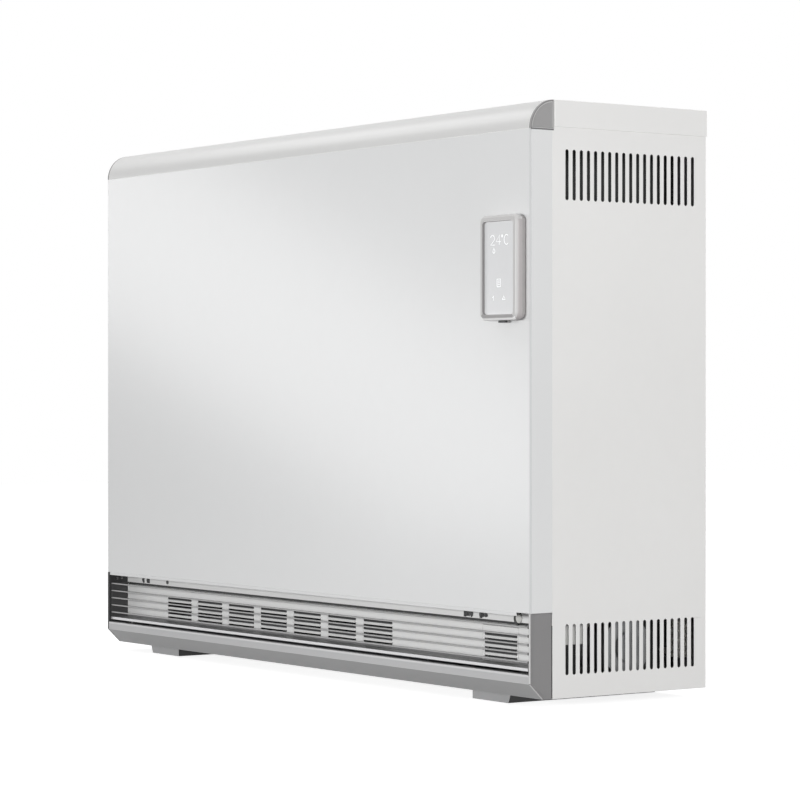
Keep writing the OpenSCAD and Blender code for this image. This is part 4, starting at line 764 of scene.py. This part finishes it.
def displayLines(size):
    # The reading is two digits, a degree ring and a letter C. Under it are a drop, a list and two signs.
    low, high = size["digitLow"], size["digitHigh"]
    mid = (low + high) / 2
    tall = high - low
    left = displayLow.x + size["left"]
    lines = [np.concatenate([arc(left + 0.0036, high - 0.0036, 0.0036, 0.0036, 165, -35),
                             path(left, low, (0.0002, 0), (0.0076, 0))])]
    four = left + 0.0102
    lines.append(path(four, low, (0.0058, 0), (0.0058, tall), (0, tall * 0.32), (0.0082, tall * 0.32)))
    lines.append(arc(four + 0.0108, high - 0.0013, 0.0012, 0.0012, 0, 360))
    lines.append(arc(four + 0.0186, mid, 0.0042, tall / 2, 50, 310))
    dropX, dropZ = left + 0.0062, low - 0.0064
    lines.append(np.concatenate([arc(dropX, dropZ - 0.0006, 0.0018, 0.0018, 150, 390),
                                 path(dropX, dropZ, (0, 0.0030), (-0.0015, 0.0006))]))
    listX, listZ = left + 0.0150, low - 0.0415
    halfWide, halfTall = 0.0032, 0.0042
    turns = ((-1, -1), (-1, 1), (1, 1), (1, -1), (-1, -1))
    lines.append(path(listX, listZ, *((halfWide * right, halfTall * up) for right, up in turns)))
    for row in (-0.0020, 0.0, 0.0020):
        lines.append(path(listX, listZ + row, (-0.0018, 0), (0.0018, 0)))
    lowZ = low - 0.0580
    lines.append(path(left, lowZ, (0.0055, -0.0026), (0.0055, 0.0026), (0.0035, 0.0004)))
    lines.append(path(left, lowZ, (0.0215, -0.0018), (0.0240, 0.0022), (0.0265, -0.0018), (0.0215, -0.0018)))
    return lines


def linePiece(name, lines, plane, thick, finish, slot, body, sideways=False):
    # Ribbons along lines of (x, z) points, or (y, z) where sideways, each with its width, as one piece.
    parts, faces, used = [], [], 0
    for line, width in lines:
        flat, quads = ribbon(line, width)
        level = np.full(len(flat), plane)
        across, up = flat[:, 0], flat[:, 1]
        parts.append(np.stack([level, across, up] if sideways else [across, level, up], -1))
        faces.extend((quads + used).tolist())
        used += len(flat)
    piece = meshPiece(name, np.concatenate(parts), faces, slot, body, False)
    piece.data.materials.clear()
    piece.data.materials.append(surface[finish])
    depth = piece.modifiers.new("thickness", "SOLIDIFY")
    depth.thickness = thick
    depth.offset = 0
    return piece


markRecipe = {"color": displayMarks["color"], "rough": 0.4, "drift": (200, 0.01), "peel": (900, 2800, 0.5),
              "depth": 0.000004}
surface["displayMark"] = makeFinish("displayMark", markRecipe)
markShader = surface["displayMark"].node_tree.nodes["Principled BSDF"]
markShader.inputs["Emission Color"].default_value = (*displayMarks["color"], 1)
markShader.inputs["Emission Strength"].default_value = displayMarks["glow"]
stroke = displayMarks["stroke"]
thin = stroke * displayMarks["thinShare"]
signLines = [(line, thin if len(line) == 2 else stroke) for line in displayLines(displayMarks)]
signPlane = displayLow.y - displayMarks["lift"]
linePiece("displayMarks", signLines, signPlane, displayMarks["thick"], "displayMark", "control_glass",
          bodyOf["control_display"])
print("control unit made")


# Small things in the outlet: slots and a knob on the air plate's strip, and clips at the grille's right end

strip = {
    "slots": [(-0.1575, 0.0036, 0.0080), (-0.1532, 0.0022, 0.0062), (-0.1274, 0.0036, 0.0078),
              (-0.1236, 0.0018, 0.0050), (-0.8785, 0.0024, 0.0076),
              (-0.8665, 0.0060, 0.0070)],  # place from the right end, width, height
    "rings": [(-0.1470, 0.0032, 0.0020, -75, 235), (-0.1174, 0.0010, 0.0024, 0, 360),
              (-0.0580, 0.0071, 0.0024, 60, 265)],  # place, radius, width, first and last angle
    "middle": 0.0954,
    "stand": 0.0011,
    "knob": (-0.0573, 0.0053),  # place and radius
    "knobStand": 0.0004,
    "knobSteps": [(1.0, 0.0003), (0.93, 0.0), (0.45, -0.0001), (0.02, -0.00012)],  # radius share, depth
}
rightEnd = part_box("side_panel_right")[1].x


def bar(x, width, height):
    return path(rightEnd + x, strip["middle"], (0, -height / 2), (0, height / 2)), width


# The strip's slots and rings are flat ribbons in painted shade.
darkLines = [bar(*slot) for slot in strip["slots"]]
darkLines += [(arc(rightEnd + x, strip["middle"], r, r, start, stop), width)
              for x, r, width, start, stop in strip["rings"]]
linePiece("stripSlots", darkLines, outlet["plateFront"] - strip["stand"] / 2, strip["stand"], "shade",
          slotOf["air_plate"], bodyOf["air_plate"])


def domePoints(x, z, radius, front, back, count=28):
    # A low round knob: rings from its foot on the plate to its middle.
    around = np.linspace(0, 2 * math.pi, count, endpoint=False)
    rings = [(radius, back)] + [(radius * share, front + depth) for share, depth in strip["knobSteps"]]
    radii, depths = np.array(rings).T[:, :, None]
    level = np.broadcast_to(depths, (len(rings), count))
    return np.stack([x + radii * np.cos(around), level, z + radii * np.sin(around)], -1)


knobPoints = domePoints(rightEnd + strip["knob"][0], strip["middle"], strip["knob"][1],
                        outlet["plateFront"] - strip["stand"] - strip["knobStand"], outlet["plateFront"])
knobFaces = gridFaces(*knobPoints.shape[:2])[:, ::-1].tolist() + [list(range(knobPoints.shape[1]))]
meshPiece("stripKnob", knobPoints.reshape(-1, 3), knobFaces, "pale_plastic", bodyOf["air_plate"])

bladeLow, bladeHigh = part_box("grille_blades")
frameLow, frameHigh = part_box("grille_frame")
clips = {
    "inner": 0.4540,
    "outer": 0.4581,
    "tall": 0.0030,
    "front": 0.0004,  # how far a clip stands out from the blade's front
    "deep": 0.0050,
    "blades": 5,
    "edge": 0.0008,  # from the blades' lowest and highest edges to a clip's middle
    "railInset": 0.0006,  # the clip on the rail
    "railFront": 0.0003,
    "railUnder": 0.0001,
    "railDeep": 0.0010,
    "railTall": 0.0036,
    "round": 0.0004,
}
clipBoxes = []
for row in np.linspace(bladeLow.z + clips["edge"], bladeHigh.z - clips["edge"], clips["blades"]):
    clipBoxes.append(((clips["inner"], bladeLow.y - clips["front"], row - clips["tall"] / 2),
                      (clips["outer"], bladeLow.y + clips["deep"], row + clips["tall"] / 2)))
railEnd = clips["inner"] + clips["railInset"]
clipBoxes.append(((railEnd, frameLow.y - clips["railFront"], frameLow.z - clips["railUnder"]),
                  (frameHigh.x, frameLow.y + clips["railDeep"], frameLow.z + clips["railTall"])))
corners = np.array([[i, j, k] for i in (0, 1) for j in (0, 1) for k in (0, 1)])
sides = np.array([[0, 1, 3, 2], [4, 6, 7, 5], [0, 4, 5, 1], [2, 3, 7, 6], [0, 2, 6, 4], [1, 5, 7, 3]])
clipPoints = np.concatenate([np.array(low) + corners * np.subtract(high, low) for low, high in clipBoxes])
clipFaces = np.concatenate([sides + 8 * number for number in range(len(clipBoxes))]).tolist()
clipObject = meshPiece("bladeClips", clipPoints, clipFaces, "black_plastic", bodyOf["grille_frame"], False)
clipRounding = clipObject.modifiers.new("rounding", "BEVEL")
clipRounding.width = clips["round"]
clipRounding.segments = 2
print("outlet details made")


# Lines along the right top end cap's rim: a band in painted shade and a line in a painted highlight, standing
# for a moulded groove, and a painted shadow gap under the cap

capLow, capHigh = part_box("top_end_cap_right")
capLine = {
    "groove": 0.0024,  # the painted highlight line's middle, from the cap's outline
    "shadeBand": 0.0010,  # and the painted shade band's
    "radius": 0.0325,
    "turn": (180, 92),  # the rounded front's first and last angle
    "steps": 24,
    "grooveWidth": 0.0008,
    "shadeBandWidth": 0.0014,
    "recess": 0.0005,
    "thick": 0.0002,
    "under": 0.0004,  # the shadow gap's middle, from the cap's foot
    "near": 0.0004,  # and its ends, from the cap's front and back
    "far": 0.0006,
}


def capOutline(inset):
    # Up the rounded front from the cap's foot to its top.
    middle = capLow.y + capLine["radius"], capHigh.z - capLine["radius"]
    radius = capLine["radius"] - inset
    return arc(*middle, radius, radius, *capLine["turn"], capLine["steps"])


capFootZ = capLow.z - capLine["under"]
capFoot = np.array([[capLow.y + capLine["near"], capFootZ], [capHigh.y - capLine["far"], capFootZ]])
groovePlane = capHigh.x - capLine["recess"]
capLines = {
    "capBand": (capOutline(capLine["shadeBand"]), capLine["shadeBandWidth"], capHigh.x, "low_cap_grey"),
    "capGroove": (capOutline(capLine["groove"]), capLine["grooveWidth"], groovePlane, "controlFrontLight"),
    "capShadow": (capFoot, capLine["shadeBandWidth"], capHigh.x, "slatBackShade"),
}
for name, (line, width, plane, finish) in capLines.items():
    linePiece(name, [(line, width)], plane, capLine["thick"], finish, slotOf["top_end_cap_right"],
              bodyOf["top_end_cap_right"], True)
print("cap details made")


# Floor, backdrop and light

room = {
    "floorReach": 7.0,
    "floorCells": 28,  # along each side
    "floorHeight": -0.0004,
    "floorColor": (0.67, 0.67, 0.672),
    "floorBounce": (0.14, 0.14, 0.14),  # the floor's colour for the light that it throws back at the heater
    "floorShine": 0.84,  # what the camera sees of the floor besides the light that falls on it
    "ambient": 0.24,
}


def seenRays(tree):
    # 1 where the camera looks at a surface, straight, in a mirror or through glass, and 0 for other light.
    rays = addNode(tree, "ShaderNodeLightPath")
    seen = mathNode(tree, "MAXIMUM", rays.outputs["Is Camera Ray"], rays.outputs["Is Glossy Ray"])
    return mathNode(tree, "MAXIMUM", seen, rays.outputs["Is Transmission Ray"])


perSide = room["floorCells"] + 1
reach = np.linspace(-room["floorReach"], room["floorReach"], perSide)
floorX, floorY = np.meshgrid(reach, reach, indexing="ij")
floorPoints = np.stack([floorX, floorY, np.full_like(floorX, room["floorHeight"])], -1).reshape(-1, 3)
row, column = np.meshgrid(np.arange(room["floorCells"]), np.arange(room["floorCells"]), indexing="ij")
first = (row * perSide + column).ravel()
floorFaces = np.stack([first, first + perSide, first + perSide + 1, first + 1], -1).tolist()
floorMesh = bpy.data.meshes.new("floor")
floorMesh.from_pydata(floorPoints.tolist(), [], floorFaces)
floorObject = bpy.data.objects.new("floor", floorMesh)
bpy.context.scene.collection.objects.link(floorObject)
floorRecipe = {"color": room["floorColor"], "rough": 0.85, "drift": (3, 0.02), "peel": (60, 400, 0.4),
               "depth": 0.0001}
floorMaterial = makeFinish("paleFloor", floorRecipe)
floorTree = floorMaterial.node_tree

lookedAt = seenRays(floorTree)
floorShader = floorTree.nodes["Principled BSDF"]
ownColor = floorShader.inputs["Base Color"].links[0].from_socket
floorColor = blendColor(floorTree, lookedAt, room["floorBounce"], ownColor)
floorTree.links.new(floorColor, floorShader.inputs["Base Color"])
floorShader.inputs["Specular IOR Level"].default_value = 0.0
floorShader.inputs["Emission Color"].default_value = (1, 1, 1, 1)
floorShine = mathNode(floorTree, "MULTIPLY", lookedAt, room["floorShine"])
floorTree.links.new(floorShine, floorShader.inputs["Emission Strength"])
floorMesh.materials.append(floorMaterial)

world = bpy.data.worlds.new("studio")
bpy.context.scene.world = world
world.use_nodes = True
sky = world.node_tree
background = sky.nodes["Background"]
level = mathNode(sky, "MULTIPLY_ADD", seenRays(sky), 1.0 - room["ambient"])
level.node.inputs[2].default_value = room["ambient"]
background.inputs["Color"].default_value = (1.0, 1.0, 1.0, 1.0)
sky.links.new(level, background.inputs["Strength"])


def mirrorSpot(x, z, distance):
    # Where the camera's ray that the front panel reflects at (x, z) is, that far in front of the panel.
    eye = Vector((camera["place"][0], 2 * frontPlane - camera["place"][1], camera["place"][2]))
    spot = Vector((x, frontPlane, z))
    ray = spot - eye
    return spot + ray * (distance / (eye.y - frontPlane))


def softbox(name, place, aim, size, power, lengthways=(1, 0, 0)):
    # A flat lamp at a place, facing the aim, its long side along the given direction.
    data = bpy.data.lights.new(name, "AREA")
    data.shape = "RECTANGLE"
    data.size, data.size_y = size
    data.energy = power
    away = (Vector(place) - Vector(aim)).normalized()
    long = Vector(lengthways)
    long = (long - away * long.dot(away)).normalized()
    upright = away.cross(long)
    lamp = bpy.data.objects.new(name, data)
    lamp.matrix_world = Matrix.Translation(place) @ Matrix((long, upright, away)).transposed().to_4x4()
    lamp.visible_camera = False
    bpy.context.scene.collection.objects.link(lamp)
    return lamp


lamps = {
    "aim": (0.0, 0.0, 0.33),
    "bandStart": (0.443, 0.241),  # the bright band on the front panel runs from here
    "bandStop": (-0.337, 0.551),  # to here
    "bandDistance": 1.9,
    "bandSize": (2.3, 0.50),
    "bandPower": 9.0,
    "sidePlace": (3.8, 0.6, 0.95),
    "sideSize": (1.5, 1.0),
    "sidePower": 69.0,
    "frontPlace": (1.1, -2.9, 0.45),
    "frontSize": (1.8, 0.4),
    "frontPower": 56.0,
    "overPlace": (-1.6, -0.8, 2.2),
    "overSize": (1.6, 1.2),
    "overPower": 9.0,
    "topPlace": (0.0, 0.15, 2.85),
    "topSize": (1.8, 0.9),
    "topPower": 20.0,
    "topAim": (0.0, 0.15, 0.0),
}
bandA = mirrorSpot(*lamps["bandStart"], lamps["bandDistance"])
bandB = mirrorSpot(*lamps["bandStop"], lamps["bandDistance"])
softbox("bandLamp", (bandA + bandB) / 2, lamps["aim"], lamps["bandSize"], lamps["bandPower"], bandB - bandA)
softbox("sideLamp", lamps["sidePlace"], lamps["aim"], lamps["sideSize"], lamps["sidePower"], (0, 1, 0))
softbox("frontLamp", lamps["frontPlace"], lamps["aim"], lamps["frontSize"], lamps["frontPower"])
softbox("overLamp", lamps["overPlace"], lamps["aim"], lamps["overSize"], lamps["overPower"])
softbox("topLamp", lamps["topPlace"], lamps["topAim"], lamps["topSize"], lamps["topPower"])
print("stage and lamps set")
